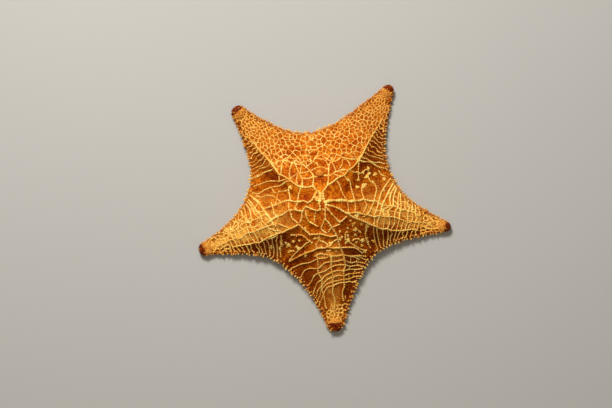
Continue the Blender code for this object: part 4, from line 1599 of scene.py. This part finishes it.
@dataclass
class Coat:
    """What stands on the skin one by one: tubercles, the margin's spines, papillae and granules."""

    halves: list[HalfArm]
    net: Net
    ridges: RidgeMap
    plate: Material
    flesh: Material
    random: np.random.Generator
    margin_gap: float = 3.2
    papilla_gap: float = 2.2
    papillae_across: int = 30
    granule_gap: float = 1.75
    granules_from: float = 0.72   # the granules begin at this part of an arm

    ROWS = (SpineRow(0.86, 1.0, 0.45, 0.9, 1.0, 0.0, 0.97),
            SpineRow(0.42, 0.95, -0.05, 0.6, 1.0, 0.5, 0.91, True),
            SpineRow(1.03, 0.75, 1.3, 2.6, 1.15, 0.2, 0.85))
    STEEP_FROM = 0.35     # a side is steep when its normal leans to the front by this much
    LARGE = 0.95          # larger tubercles are darker

    def build(self) -> None:
        """Make the four kinds, a piece each."""
        kinds = (("tubercles", self.tubercles, self.plate, "plate"),
                 ("margin_spines", self.margin_spines, self.plate, "plate"),
                 ("papillae", self.papillae, self.flesh, "skin"),
                 ("arm_end_granules", self.granules, self.plate, "plate"))
        for name, make, material, slot in kinds:
            Cloud.join([make(half) for half in self.halves]).build(name, material, slot)

    def tubercles(self, half: HalfArm) -> Cloud:
        """Blunt cones on the net's knots, leaning outwards and longer where the side is steep.

        Args:
            half: the flank.

        Returns:
            The cones.
        """
        draw = self.random
        own = [(point, size) for owner, point, size in self.net.knots if owner is half]
        points = wander(np.array([point for point, _ in own]), 0.8)
        sizes = np.array([size for _, size in own])
        reach = FORM.measure(points)[1]
        sizes = sizes * (1 - 0.35 * np.clip(reach, 0, 1))
        normal = FORM.normal(points)
        steep = ramp(np.maximum(-normal[:, 1], 0), self.STEEP_FROM, 0.3) * (sizes > 1.15)
        lean = raised(0.5 * steep[:, None] * FORM.outward(points), np.zeros(len(points)))
        tilt = shaken(draw, normal + lean, 0.18)
        # painted shade: the tubercles grow darker towards the arm's end
        tones = draw.uniform(0.75, 1.0, len(points)) * half.arm.shaded_towards_end(reach)
        return BLUNT.grow(FORM.skin(points) + 0.3 * normal, tilt, sizes * (1.2 - 0.2 * steep),
                          sizes * (1.3 + 1.2 * steep), unwrap_back(half.arm, points), reach,
                          tones * np.where(sizes > self.LARGE, 0.72, 1.0))

    def margin_spines(self, half: HalfArm) -> Cloud:
        """Two rows of stout spines round the outline, one over the other, and small ones between."""
        return Cloud.join([self.spine_row(half, row) for row in self.ROWS])

    def spine_row(self, half: HalfArm, row: SpineRow) -> Cloud:
        """One row of spines.

        Args:
            half: the flank.
            row: the row's sizes.

        Returns:
            The spines.
        """
        draw = self.random
        total = half.arc[-1] - 5
        count = int(total / (self.margin_gap * row.spacing))
        parts = (np.arange(count) + row.shift + 0.3) / count
        arc = 1.0 + total * parts + draw.normal(size=count) * 0.8
        point, out = half.by_arc(arc / half.arc[-1])
        fraction = FORM.measure(point)[1]
        fade = 1 - 0.4 * np.clip((fraction - 0.4) / 0.6, 0, 1)
        roots = raised(point - row.inset * out, FORM.wall(fraction) * row.level + FORM.lifted(fraction))
        slant = np.full(count, row.tilt) + draw.normal(size=count) * 0.15
        axis = unit(raised(out + draw.normal(size=(count, 2)) * 0.16, slant))
        length = row.LENGTH * row.size * fade * draw.uniform(0.5, 1.25, count)
        radius = row.RADIUS * row.size * fade * draw.uniform(0.75, 1.15, count)
        uv = unwrap(half.arm, half.arm.place(point)[0], half.side.value * row.strip, row.below)
        # painted shade: the spines grow darker towards the arm's end
        tones = draw.uniform(0.65, 1.0, count) * half.arm.shaded_towards_end(fraction)
        return POINTED.grow(roots, axis, radius, length, uv, fraction, tones)

    def granules(self, half: HalfArm) -> Cloud:
        """Blunt granules that crowd an arm's end and thin out towards the disc.

        Args:
            half: the flank.

        Returns:
            The granules.
        """
        draw = self.random
        arm = half.arm
        along = np.arange(self.granules_from * arm.reach, arm.reach - 8.5 + 3 * arm.red, self.granule_gap)
        grid = loose_grid(draw, along, np.arange(0.5, 22, self.granule_gap), 0.9, 0.28)
        points = half.beside(grid[:, 0], grid[:, 1:])
        edge, reach = FORM.measure(points)
        crowd = ramp(reach, 0.74, 0.2) * 0.08 + 0.2 * (edge > 0.72) + 0.65 * ramp(reach, 0.9, 0.05)
        keep = (edge < 0.98) & (draw.random(len(points)) < crowd)
        points, reach = points[keep], reach[keep]
        normal = FORM.normal(points)
        size = draw.uniform(0.6, 1.0, len(points))
        roots = FORM.skin(points) + 0.35 * normal
        roots[:, 2] = np.maximum(roots[:, 2], ArmEnds.height_over(arm, points))
        axes = shaken(draw, normal, 0.15)
        # painted shade: the granules grow darker towards the arm's end
        tones = draw.uniform(0.4, 1.0, len(points)) * arm.shaded_towards_end(reach)
        return BLUNT.grow(roots, axes, size, size * 1.35, unwrap_back(arm, points), reach, tones)

    def papillae(self, half: HalfArm) -> Cloud:
        """Small soft points in the net's openings, on a loose grid over a flank's back.

        Args:
            half: the flank.

        Returns:
            The papillae.
        """
        draw = self.random
        starts = np.arange(6, half.arm.reach - 8, self.papilla_gap)
        parts = np.linspace(0.02, 0.93, self.papillae_across)
        grid = loose_grid(draw, starts, parts, 0, [0.7, 0.012])
        points = half.row(grid[:, 0], np.clip(grid[:, 1], 0.01, 0.95))
        width = np.linalg.norm(half.row(grid[:, 0], np.ones(len(grid))) - half.arm.axis(grid[:, 0]), axis=1)
        keep = draw.random(len(grid)) < width / (self.papillae_across * self.papilla_gap)
        keep &= self.ridges.read(points) < 0.5
        points = points[keep]
        reach = FORM.measure(points)[1]
        size = draw.uniform(0.34, 0.56, len(points))
        axes = shaken(draw, FORM.normal(points), 0.2)
        tones = draw.uniform(0.4, 1.0, len(points))
        uv = unwrap_back(half.arm, points)
        return GRAIN.grow(FORM.skin(points), axes, size, size * 1.5, uv, reach, tones)


# ---- small hard parts and the underside

@dataclass(frozen=True)
class Lump:
    """A closed rounded body: a superellipsoid whose radius a pattern may raise and lower."""

    centre: Array
    axes: Array
    halves: tuple[float, float, float]
    squareness: float = 2.3
    rows: int = 30
    columns: int = 44

    def cloud(self, arm: Arm, below: bool, bumps: float = 0.0, waves: int = 9, reach: float = 1.0) -> Cloud:
        """The surface in polar angles: sign-preserving powers of sine and cosine times the half sizes.

        Args:
            arm: the arm on whose strip of the unwrap it lies.
            below: whether it lies on the underside.
            bumps: the pattern's height, as a part of the radius.
            waves: how many bumps go round.
            reach: the reach value.

        Returns:
            The cloud.
        """
        power = 2 / self.squareness
        tilt = np.linspace(-math.pi / 2, math.pi / 2, self.rows)[:, None]
        turn = np.linspace(0, 2 * math.pi, self.columns + 1)[None]
        bend = [np.sign(value) * np.abs(value) ** power
                for value in (np.cos(tilt), np.sin(tilt), np.cos(turn), np.sin(turn))]
        pattern = 1 + bumps * np.sin(waves * turn) * np.sin(waves * 0.8 * tilt + 1) * np.cos(tilt)
        local = np.stack([bend[0] * bend[2] * pattern, bend[0] * bend[3] * pattern,
                          bend[1] * np.ones_like(turn) * pattern], axis=-1) * np.array(self.halves)
        local[:, -1] = local[:, 0]
        local[0], local[-1] = local[0, 0], local[-1, 0]
        places = self.centre + local @ self.axes
        tone = np.broadcast_to(0.5 + 0.5 * np.sin(tilt), places.shape[:2]).ravel()
        faces = grid_faces(self.rows, self.columns + 1)
        return Cloud(places.reshape(-1, 3), [faces], unwrap_part(arm, places, below).reshape(-1, 2),
                     tone.copy(), np.full(len(tone), reach))


def box_middle(node: str) -> tuple[Array, Array]:
    """Middle and half sizes of a node's box, in millimetres, the middle from the hub."""
    low, high = (np.array(corner, float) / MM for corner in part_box(node))
    return (low + high) / 2 - HUB, (high - low) / 2


def axes_for(ahead: Array) -> Array:
    """Rows of unit vectors ahead, left and up, for a level unit vector."""
    ahead3 = np.array([*ahead, 0.0])
    left3 = np.array([-ahead[1], ahead[0], 0.0])
    return np.stack([ahead3, left3, np.cross(ahead3, left3)])


def round_about(levels: Array) -> tuple[Array, Array]:
    """Points on a unit ball at given levels, each turned on by the golden angle.

    Args:
        levels: one coordinate of each.

    Returns:
        The other two coordinates.
    """
    turn = np.arange(len(levels)) * GOLDEN_TURN
    ring = np.sqrt(1 - levels ** 2)
    return ring * np.cos(turn), ring * np.sin(turn)


@dataclass
class ArmEnds:
    """The arms' blunt end caps, crowded with granules, and the eyespots under them."""

    cap: Material
    eye: Material
    random: np.random.Generator
    granule_count: int = 230
    cup_count: int = 12

    CENTRE_HEIGHT = 4.4
    SET_BACK = 6.6
    LENGTH = 6.6          # half the length of a cap
    ROUNDNESS = 2.2
    RED_SPAN = 0.4        # the colour changes over this part of the cap
    PALE = 0.9            # how far the reach value falls behind the red

    @staticmethod
    def sizes(arm: Arm) -> Array:
        """Half sizes of an arm's cap, wider on a blunt arm."""
        return np.array([ArmEnds.LENGTH, 4.9 + 0.75 * arm.blunt, 4.3])

    @staticmethod
    def place(arm: Arm) -> tuple[Array, Array]:
        """Middle of an arm's cap, and its axes ahead, left and up."""
        end = arm.axis(np.array(arm.reach - ArmEnds.SET_BACK))
        lift = float(FORM.lifted(FORM.measure(end)[1]))
        return np.array([*end, lift + ArmEnds.CENTRE_HEIGHT]), axes_for(arm.end_heading(2))

    @staticmethod
    def height_over(arm: Arm, points: Array) -> Array:
        """Height of the cap's top over plan points, from the ellipsoid's equation; 0 beside it.

        Args:
            arm: the arm.
            points: plan points.

        Returns:
            The heights.
        """
        centre, axes = ArmEnds.place(arm)
        sizes = ArmEnds.sizes(arm)
        away = (points - centre[:2]) @ axes[:2, :2].T / sizes[:2]
        rest = 1 - np.sum(away ** 2, axis=1)
        return np.where(rest > 0, centre[2] + sizes[2] * np.sqrt(np.maximum(rest, 0)), 0)

    def redness(self, arm: Arm, forward: Array) -> Array:
        """How red a cap is at a way along it, from -1 at its back to 1 at its front."""
        return ramp(forward, arm.red - self.RED_SPAN / 2, self.RED_SPAN)

    def build(self) -> None:
        """A cap and an eyespot for each arm."""
        for arm in ARMS:
            self.build_cap(arm)
            self.build_eye(arm)

    def build_cap(self, arm: Arm) -> None:
        """The cap, a rounded body in line with the arm's end, and granules spread over its dome.

        Args:
            arm: the arm.
        """
        draw = self.random
        centre, axes = self.place(arm)
        sizes = self.sizes(arm)
        body = Lump(centre, axes, tuple(sizes), self.ROUNDNESS).cloud(arm, False, 0.012, 11)
        body.tone[:] = 0.2
        forward = (body.places - centre) @ axes[0] / self.LENGTH
        body.reach = np.clip(1 - self.PALE * (1 - self.redness(arm, forward)), 0, 1)

        up = 0.98 - 1.15 * (np.arange(self.granule_count) + 0.5) / self.granule_count
        out = shaken(draw, np.stack([*round_about(up), up], axis=1), 0.05)
        out = out[out[:, 0] > -0.95]
        count = len(out)
        roots = centre + (out * sizes * 0.97) @ axes
        normal = unit(out / sizes) @ axes
        size = draw.uniform(0.4, 0.64, count) * (1.3 - 0.3 * self.redness(arm, out[:, 0]))
        rim = 1 - self.redness(arm, out[:, 0] + draw.normal(size=count) * 0.12)
        grains = BLUNT.grow(roots, normal, size, size * 1.1, unwrap_part(arm, roots, False),
                            1 - self.PALE * rim, draw.uniform(0.6, 1.0, count))
        cloud = Cloud.join([body, grains])
        cloud.build(f"tip_cap_{arm.number}", self.cap, "tip", f"tip_{arm.number}", merge=True)

    def build_eye(self, arm: Arm) -> None:
        """A small cushion with a dozen cups, round the end of the arm.

        Args:
            arm: the arm.
        """
        node = f"eyespot_{arm.number}"
        centre, halves = box_middle(node)
        axes = axes_for(arm.end_heading(2))
        width = float(min(halves[:2]))
        size = (width, width, float(halves[2]))
        cushion = Lump(centre, axes, size, self.ROUNDNESS, 16, 24).cloud(arm, True)
        count = self.cup_count
        forward = 0.15 + 0.8 * (np.arange(count) + 0.5) / count
        out = np.stack([forward, *round_about(forward)], axis=1)
        roots = centre + (out * np.array(size) * 0.95) @ axes
        cups = GRAIN.grow(roots, out @ axes, 0.16, 0.14, unwrap_part(arm, roots, True), 1.0)
        Cloud.join([cushion, cups]).build(f"eye_{arm.number}", self.eye, "eye", node, merge=True)


@dataclass
class Madreporite:
    """The sieve plate: a low oval dome whose pores lie in winding grooves."""

    material: Material
    fit: float = 0.97     # its size, as a part of the solid's
    roundness: float = 2.1

    def build(self) -> None:
        """Make the dome over the solid's place."""
        centre, halves = box_middle("madreporite")
        plate = Lump(centre, np.eye(3), tuple(self.fit * halves), self.roundness, 36, 90)
        cloud = plate.cloud(ARMS[0], False, 0.03, 14, 0.2)
        cloud.build("sieve_plate", self.material, "plate", "madreporite", merge=True)


@dataclass
class Underside:
    """The mouth's jaws, the grooves' tube feet and spines, and the sole's granules."""

    halves: list[HalfArm]
    skin: Skin
    mouth: Material
    plate: Material
    random: np.random.Generator
    foot_gap: float = 2.6
    spine_gap: float = 1.7
    granule_gap: float = 2.3

    JAW = (2.5, 1.9)      # half length and half width
    JAW_SPINES = 7
    JAW_FAN = (2.3, 1.8, 1.0)
    SPINE_ROWS = ((4.3, -1.0, 0.42), (5.6, 0.7, 0.5))   # distance off the midline, lean, radius
    OVERLAP = 0.05        # small parts are sunk into the sole this far

    def build(self) -> None:
        """Make the pieces of the underside."""
        for arm in ARMS:
            self.jaw(arm.number)
        kinds = (("tube_feet", self.feet, self.mouth), ("groove_spines", self.spines, self.mouth),
                 ("sole_granules", self.sole_granules, self.plate))
        for name, make, material in kinds:
            Cloud.join([make(half) for half in self.halves]).build(name, material, "mouth")

    def jaw(self, number: int) -> None:
        """A rounded wedge that points to the mouth's middle, with a fan of small spines.

        Args:
            number: the jaw's.
        """
        centre, halves = box_middle(f"jaw_{number}")
        axes = axes_for(-unit(centre[:2]))
        arm = arm_under(centre[:2])
        body = Lump(centre, axes, (*self.JAW, float(halves[2]) * 0.97), 2.4, 20, 30)
        count = self.JAW_SPINES
        turns = np.linspace(-0.9, 0.9, count)
        out = np.stack([np.cos(turns), np.sin(turns), np.full(count, -0.25)], axis=1)
        roots = centre + (out * np.array(self.JAW_FAN)) @ axes
        spines = POINTED.grow(roots, unit(out) @ axes, 0.3, 1.3, unwrap_part(arm, roots, True), 0.0)
        cloud = Cloud.join([body.cloud(arm, True, 0.01, 7, 0.0), spines])
        cloud.build(f"jaw_plate_{number}", self.mouth, "mouth", f"jaw_{number}", merge=True)

    def feet(self, half: HalfArm) -> Cloud:
        """One row of tube feet: a stalk and a sucker, hung from the groove's ceiling.

        Args:
            half: the flank.

        Returns:
            The row.
        """
        draw = self.random
        along = np.arange(11.0, half.arm.reach - 13, self.foot_gap)
        count = len(along)
        along = along + draw.normal(size=count) * 0.2
        points = half.beside(along, 1.0)
        level = self.skin.sole_height(half.arm, points) + 0.2
        lean = draw.normal(size=(2, count)) * 0.06
        axes = unit(np.stack([*lean, -np.ones(count)], axis=1))
        lengths = (level - 0.5) * draw.uniform(0.6, 0.85, count)
        uv = unwrap(half.arm, along, half.side.value * 0.06, True)
        return SUCKER.grow(raised(points, level), axes, 0.55, lengths, uv, along / half.arm.reach)

    def spines(self, half: HalfArm) -> Cloud:
        """Two rows of small spines at the groove's edge, laid over it and away from it.

        Args:
            half: the flank.

        Returns:
            Both rows.
        """
        draw = self.random
        clouds = []
        for across, lean, radius in self.SPINE_ROWS:
            along = np.arange(12.0, half.arm.reach - 14, self.spine_gap)
            along = along + draw.normal(size=len(along)) * 0.15
            points = half.beside(along, across)
            keep = FORM.measure(points)[0] < 0.8
            points, along = points[keep], along[keep]
            count = len(points)
            level = FORM.coat_depth + FORM.lifted(FORM.measure(points)[1]) + self.OVERLAP
            flat = lean * half.side.value * half.arm.left
            axes = shaken(draw, np.tile([*flat, -0.02], (count, 1)), [0.15, 0.15, 0.02])
            lengths = draw.uniform(1.8, 2.4, count)
            uv = unwrap(half.arm, along, half.side.value * across / 30, True)
            reach = along / half.arm.reach
            clouds.append(POINTED.grow(raised(points, level), axes, radius, lengths, uv, reach))
        return Cloud.join(clouds)

    def sole_granules(self, half: HalfArm) -> Cloud:
        """Low granules over the sole, on a loose staggered grid.

        Args:
            half: the flank.

        Returns:
            The granules.
        """
        draw = self.random
        arm = half.arm
        along = np.arange(6.0, arm.reach - 9, self.granule_gap)
        across = np.arange(7.0, 62, self.granule_gap)
        grid = loose_grid(draw, along, across, self.granule_gap / 2, 0.3)
        points = half.beside(grid[:, 0], grid[:, 1:])
        edge, reach = FORM.measure(points)
        nearest = np.argmax([points @ one.ahead for one in ARMS], axis=0)
        keep = (nearest == ARMS.index(arm)) & (edge < 0.86) & (np.linalg.norm(points, axis=1) > 12)
        points, reach = points[keep], reach[keep]
        count = len(points)
        roots = raised(points, FORM.coat_depth + FORM.lifted(reach) + self.OVERLAP)
        axes = np.tile([0.0, 0.0, -1.0], (count, 1))
        far, wide = arm.place(points)
        uv = unwrap(arm, far, np.clip(wide / 60, -0.8, 0.8), True)
        return GRAIN.grow(roots, axes, draw.uniform(0.5, 0.85, count), 0.62, uv, reach)


# ---- finishes

def linear(colour: str) -> tuple[float, float, float, float]:
    """An sRGB hex colour as linear red, green, blue and alpha."""
    values = [int(colour[k:k + 2], 16) / 255 for k in (1, 3, 5)]
    curve = [value / 12.92 if value <= 0.04045 else ((value + 0.055) / 1.055) ** 2.4 for value in values]
    return (*curve, 1.0)


class Finish:
    """A material: its shader, its node tree and the patterns and colours that feed it."""

    NAME = ""
    ROUGHNESS = 0.5
    SPECULAR = 0.5        # the strength of its gloss, 0.5 for the full one
    IOR = 1.45

    def __init__(self) -> None:
        """Make the material, with its constants on the shader's own sockets, and dress it."""
        self.material = bpy.data.materials.new(self.NAME)
        self.material.use_nodes = True
        self.tree = self.material.node_tree
        self.shader = self.tree.nodes["Principled BSDF"]
        self.shader.inputs["Roughness"].default_value = self.ROUGHNESS
        self.shader.inputs["IOR"].default_value = self.IOR
        self.shader.inputs["Specular IOR Level"].default_value = self.SPECULAR
        self.where = self.node("TexCoord").outputs["Object"]
        self.dress()

    def dress(self) -> None:
        """Feed the shader; each finish has its own way."""

    def node(self, kind: str, values: dict | None = None, links: dict | None = None,
             **settings: object) -> bpy.types.Node:
        """Add a shader node.

        Args:
            kind: its type, without the ShaderNode prefix.
            values: constants for its inputs, by name or number.
            links: sockets that feed its inputs, by name or number.
            settings: its properties.

        Returns:
            The node.
        """
        made = self.tree.nodes.new("ShaderNode" + kind)
        for key, value in settings.items():
            setattr(made, key, value)
        for key, value in (values or {}).items():
            made.inputs[key].default_value = value
        for key, socket in (links or {}).items():
            self.tree.links.new(socket, made.inputs[key])
        return made

    def mix(self, factor: Socket, first: str | Socket, second: str | Socket, mode: str = "MIX") -> Socket:
        """Mix two colours, each a hex string or a socket.

        Args:
            factor: 0 for the first colour, 1 for the second.
            first: the first colour.
            second: the second colour.
            mode: the way of mixing.

        Returns:
            The mixed colour.
        """
        colours = {6: first, 7: second}
        plain = {place: linear(colour) for place, colour in colours.items() if isinstance(colour, str)}
        linked = {place: colour for place, colour in colours.items() if place not in plain}
        return self.node("Mix", plain, {0: factor, **linked}, data_type="RGBA", blend_type=mode).outputs[2]

    def band(self, value: Socket, low: float, high: float, top: float = 1.0) -> Socket:
        """Map a value that runs from low to high to one from 0 to the top, clamped."""
        return self.node("MapRange", {1: low, 2: high, 3: 0.0, 4: top}, {0: value}, clamp=True).outputs[0]

    def painted(self, name: str) -> Socket:
        """A paint value of the mesh."""
        return self.node("Attribute", attribute_name=name).outputs["Fac"]

    def noise(self, size_mm: float, detail: float = 3.0) -> Socket:
        """Noise whose patches are about a size in millimetres."""
        values = {"Scale": 1000 / size_mm, "Detail": detail}
        return self.node("TexNoise", values, {"Vector": self.where}).outputs["Fac"]

    def cells(self, size_mm: float) -> Socket:
        """Distance to the nearest of many scattered points."""
        return self.node("TexVoronoi", {"Scale": 1000 / size_mm}, {"Vector": self.where}).outputs["Distance"]

    def paint(self, colour: Socket) -> None:
        """Feed the shader's colour."""
        self.tree.links.new(colour, self.shader.inputs["Base Color"])

    def emboss(self, height: Socket, depth_mm: float, strength: float) -> None:
        """Feed the shader's normal from a height, after what is embossed already.

        Args:
            height: the pattern.
            depth_mm: how deep it is.
            strength: how much of it shows, 0 to 1.
        """
        made = self.node("Bump", {"Distance": depth_mm * MM, "Strength": strength}, {"Height": height})
        old = self.shader.inputs["Normal"].links
        if old:
            self.tree.links.new(old[0].from_socket, made.inputs["Normal"])
        self.tree.links.new(made.outputs["Normal"], self.shader.inputs["Normal"])


class WetSkin(Finish):
    """Living sea star skin, wet and leathery: deep orange, darker in the hollows of the net.

    Patches of 12 mm shift the hue, and granules of 1.1 mm give it a fine, dull sparkle. Painted shade
    darkens the sides away from the light, and gold, partly a painted highlight, lies on the arms' tops.
    """

    NAME = "wet_sea_star_skin"
    ROUGHNESS = 0.55
    SPECULAR = 0.04
    DEEP = "#9E3A00"
    BRIGHT = "#DC7C12"
    SPECK = "#EC9010"
    PIT = "#8A2600"
    # painted shade, multiplied over the flanks that face away from the light
    PAINTED_SHADE = "#9C6E3C"
    BY_RIDGE = "#DF8420"
    # golden hue on the arms' tops, partly a painted highlight
    GOLD_AND_HIGHLIGHT = "#F8B84C"
    ARM_END = "#94500A"
    SOLE = "#E8B45C"

    def dress(self) -> None:
        """Lay the colours over each other, from the deep orange to the sole's."""
        near = self.painted("tone")
        # the flank paint: painted shade where positive, gold where negative
        side = self.painted("flank")
        colour = self.mix(self.band(self.noise(12), 0.35, 0.65), self.DEEP, self.BRIGHT)
        colour = self.mix(self.band(self.noise(1.6, 4), 0.5, 0.72, 0.75), colour, self.SPECK)
        colour = self.mix(self.band(self.cells(2.6), 0.35, 0.75, 0.75), colour, self.PIT)
        colour = self.mix(self.band(near, 0.7, 1.0, 0.45), colour, self.BY_RIDGE)
        colour = self.mix(self.band(self.painted("reach"), 0.5, 0.9, 0.75), colour, self.ARM_END)
        # gold on the arms' tops, partly a painted highlight
        golden = self.mix(self.band(self.noise(7), 0.37, 0.55), colour, self.GOLD_AND_HIGHLIGHT)
        colour = self.mix(self.band(side, 0.0, -1.0, 0.8), colour, golden)
        # painted shade: darkens the flanks that face away from the light
        colour = self.mix(self.band(side, 0.0, 1.0, 0.85), colour, self.PAINTED_SHADE, "MULTIPLY")
        self.paint(self.mix(self.band(near, -0.5, -0.9), colour, self.SOLE))
        self.emboss(self.cells(1.1), 0.35, 0.6)
        self.emboss(self.band(self.noise(1.6, 4), 0.3, 0.7), 0.25, 0.5)


class ThinSkinnedPlate(Finish):
    """Calcite plates under a thin skin: cream on their crowns, amber where they leave the body."""

    NAME = "thin_skinned_calcite_plate"
    ROUGHNESS = 0.6
    SPECULAR = 0.06
    FOOT = "#B4520A"
    CROWN = "#FFDF7A"
    WORN = "#F4B448"
    SUNK = "#DC9630"
    ARM_END = "#F6BE54"

    def dress(self) -> None:
        """Mix the crown's colour in patches, then the foot's by the tone."""
        crown = self.mix(self.band(self.noise(6), 0.36, 0.6), self.WORN, self.CROWN)
        crown = self.mix(self.band(self.noise(9), 0.6, 0.7, 0.8), crown, self.SUNK)
        crown = self.mix(self.band(self.painted("reach"), 0.55, 0.9, 0.85), crown, self.ARM_END)
        self.paint(self.mix(self.band(self.painted("tone"), 0.1, 0.75), self.FOOT, crown))
        self.emboss(self.noise(0.8), 0.2, 0.6)


class RedTip(Finish):
    """The arms' bare end plates: dark wine-red under a wet film, rust-brown where they join the net."""

    NAME = "dark_red_end_plate"
    SPECULAR = 0.06
    DARK = "#480C00"
    RED = "#7E2C06"
    SPECK = "#B06828"
    RIM = "#E8A848"
    BETWEEN = "#B4641C"

    def dress(self) -> None:
        """Mix red for the arm's end and the net's colours behind it."""
        colour = self.mix(self.band(self.noise(2.2), 0.35, 0.65), self.DARK, self.RED)
        colour = self.mix(self.band(self.noise(1.3), 0.55, 0.72, 0.45), colour, self.SPECK)
        rim = self.mix(self.band(self.painted("tone"), 0.25, 0.7), self.BETWEEN, self.RIM)
        self.paint(self.mix(self.band(self.painted("reach"), 0.25, 0.8), rim, colour))
        self.emboss(self.noise(0.7), 0.15, 0.6)


class EyePigment(Finish):
    """The eyespot's soft cushion: bright red pigment under clear skin, darker in its cups."""

    NAME = "red_eye_pigment"
    ROUGHNESS = 0.35
    DARK = "#7E0A06"
    BRIGHT = "#C8240E"

    def dress(self) -> None:
        """Mix the two reds in patches of half a millimetre."""
        self.paint(self.mix(self.band(self.noise(0.5), 0.4, 0.6), self.DARK, self.BRIGHT))
        self.emboss(self.noise(0.3, 2), 0.05, 0.5)


class MouthSkin(Finish):
    """Soft parts round the mouth and in the grooves: translucent cream, ochre where they thicken."""

    NAME = "soft_mouth_skin"
    ROUGHNESS = 0.45
    SPECULAR = 0.35
    CREAM = "#E9C588"
    OCHRE = "#C68A45"

    def dress(self) -> None:
        """Mix cream towards each part's tip, with ochre patches of 3 mm."""
        colour = self.mix(self.band(self.painted("tone"), 0.5, 1.0), self.OCHRE, self.CREAM)
        self.paint(self.mix(self.band(self.noise(3), 0.4, 0.7, 0.5), colour, self.OCHRE))
        self.emboss(self.noise(0.6), 0.12, 0.5)


class SievePlate(Finish):
    """The sieve plate's calcite: tan-orange, with a labyrinth of fine dark grooves."""

    NAME = "grooved_sieve_plate"
    ROUGHNESS = 0.6
    SPECULAR = 0.2
    GROOVE = "#B85208"
    RIDGE = "#EE9A2E"

    def dress(self) -> None:
        """Lay bent rings, in colour and in relief."""
        values = {"Scale": 330.0, "Distortion": 9.0, "Detail": 2.0, "Detail Scale": 2.5}
        bent = self.node("TexWave", values, {"Vector": self.where}, wave_type="RINGS").outputs["Fac"]
        line = self.band(bent, 0.25, 0.6)
        self.paint(self.mix(line, self.GROOVE, self.RIDGE))
        self.emboss(line, 0.25, 0.8)


class PaleFloor(Finish):
    """A plain pale painted board, matt, so that it takes a soft shadow and no gloss."""

    NAME = "matt_painted_board"
    ROUGHNESS = 0.9
    COLOUR = "#AFACA6"
    PATCH = "#B3B0AA"

    def dress(self) -> None:
        """Mix patches of 300 mm that differ very little."""
        self.paint(self.mix(self.noise(300, 2), self.COLOUR, self.PATCH))


# ---- studio

@dataclass(frozen=True)
class Lamp:
    """A square soft light that points at the animal, with its place in metres."""

    name: str
    place: tuple[float, float, float]
    size: float
    watts: float
    target: tuple[float, float, float] = (0, 0, 0.02)

    def build(self) -> None:
        """Make the light."""
        data = bpy.data.lights.new(self.name, "AREA")
        data.size = self.size
        data.energy = self.watts
        lamp = bpy.data.objects.new(self.name, data)
        lamp.location = self.place
        aim = Vector(self.target) - Vector(self.place)
        lamp.rotation_euler = aim.to_track_quat("-Z", "Y").to_euler()
        bpy.context.collection.objects.link(lamp)


@dataclass
class Studio:
    """The floor, the soft lights and the camera over the animal, in metres."""

    camera_height: float = 1.5
    frame_width: float = 0.612
    frame_level: float = 0.008    # the frame spans its width at this height
    centre: tuple[float, float] = (-0.01854, 0.00416)
    sensor: float = 36.0
    floor_half: float = 2.0
    room_colour: tuple[float, float, float, float] = (1.0, 0.89, 0.7, 1.0)
    room_strength: float = 0.19
    lamps: tuple[Lamp, ...] = (Lamp("key", (-0.28, 0.8, 1.1), 0.34, 20.8),
                               Lamp("fill", (-0.1, 0.1, 1.7), 1.2, 4.2))

    def build(self) -> None:
        """Make the floor, lights and camera."""
        self.floor()
        for lamp in self.lamps:
            lamp.build()
        self.room()
        self.camera()

    def room(self) -> None:
        """Even light from all sides, and colours shown as they are."""
        world = bpy.data.worlds.new("soft_room")
        bpy.context.scene.world = world
        world.use_nodes = True
        background = world.node_tree.nodes["Background"]
        background.inputs["Color"].default_value = self.room_colour
        background.inputs["Strength"].default_value = self.room_strength
        bpy.context.scene.view_settings.view_transform = "Standard"

    def floor(self) -> None:
        """A square board under everything."""
        far = self.floor_half
        mesh = bpy.data.meshes.new("floor")
        corners = [(-far, -far, 0), (far, -far, 0), (far, far, 0), (-far, far, 0)]
        mesh.from_pydata(corners, [], [(0, 1, 2, 3)])
        mesh.materials.append(PaleFloor().material)
        board = bpy.data.objects.new("floor", mesh)
        bpy.context.collection.objects.link(board)

    def camera(self) -> None:
        """A long lens straight above, so wide that the frame spans its width at the margin."""
        data = bpy.data.cameras.new("camera")
        data.sensor_width = self.sensor
        data.lens = self.sensor * (self.camera_height - self.frame_level) / self.frame_width
        data.clip_start = 0.05
        data.clip_end = 20.0
        view = bpy.data.objects.new("camera", data)
        view.location = (*self.centre, self.camera_height)
        bpy.context.collection.objects.link(view)
        bpy.context.scene.camera = view


# ---- the whole

def main() -> None:
    """Build the animal and the studio."""
    logging.basicConfig(level=logging.INFO, format="%(message)s")
    halves = make_halves()
    plate = ThinSkinnedPlate().material
    flesh = WetSkin().material
    net = Net(halves, plate, np.random.default_rng(11))
    net.plan()
    FORM.sag = SagMap(net.strong_points())
    ridges = RidgeMap(net.build())
    skin = Skin(halves, flesh, ridges)
    skin.build()
    Coat(halves, net, ridges, plate, flesh, np.random.default_rng(5)).build()
    ArmEnds(RedTip().material, EyePigment().material, np.random.default_rng(23)).build()
    Madreporite(SievePlate().material).build()
    Underside(halves, skin, MouthSkin().material, plate, np.random.default_rng(31)).build()
    Studio().build()


if __name__ == "__main__":
    main()
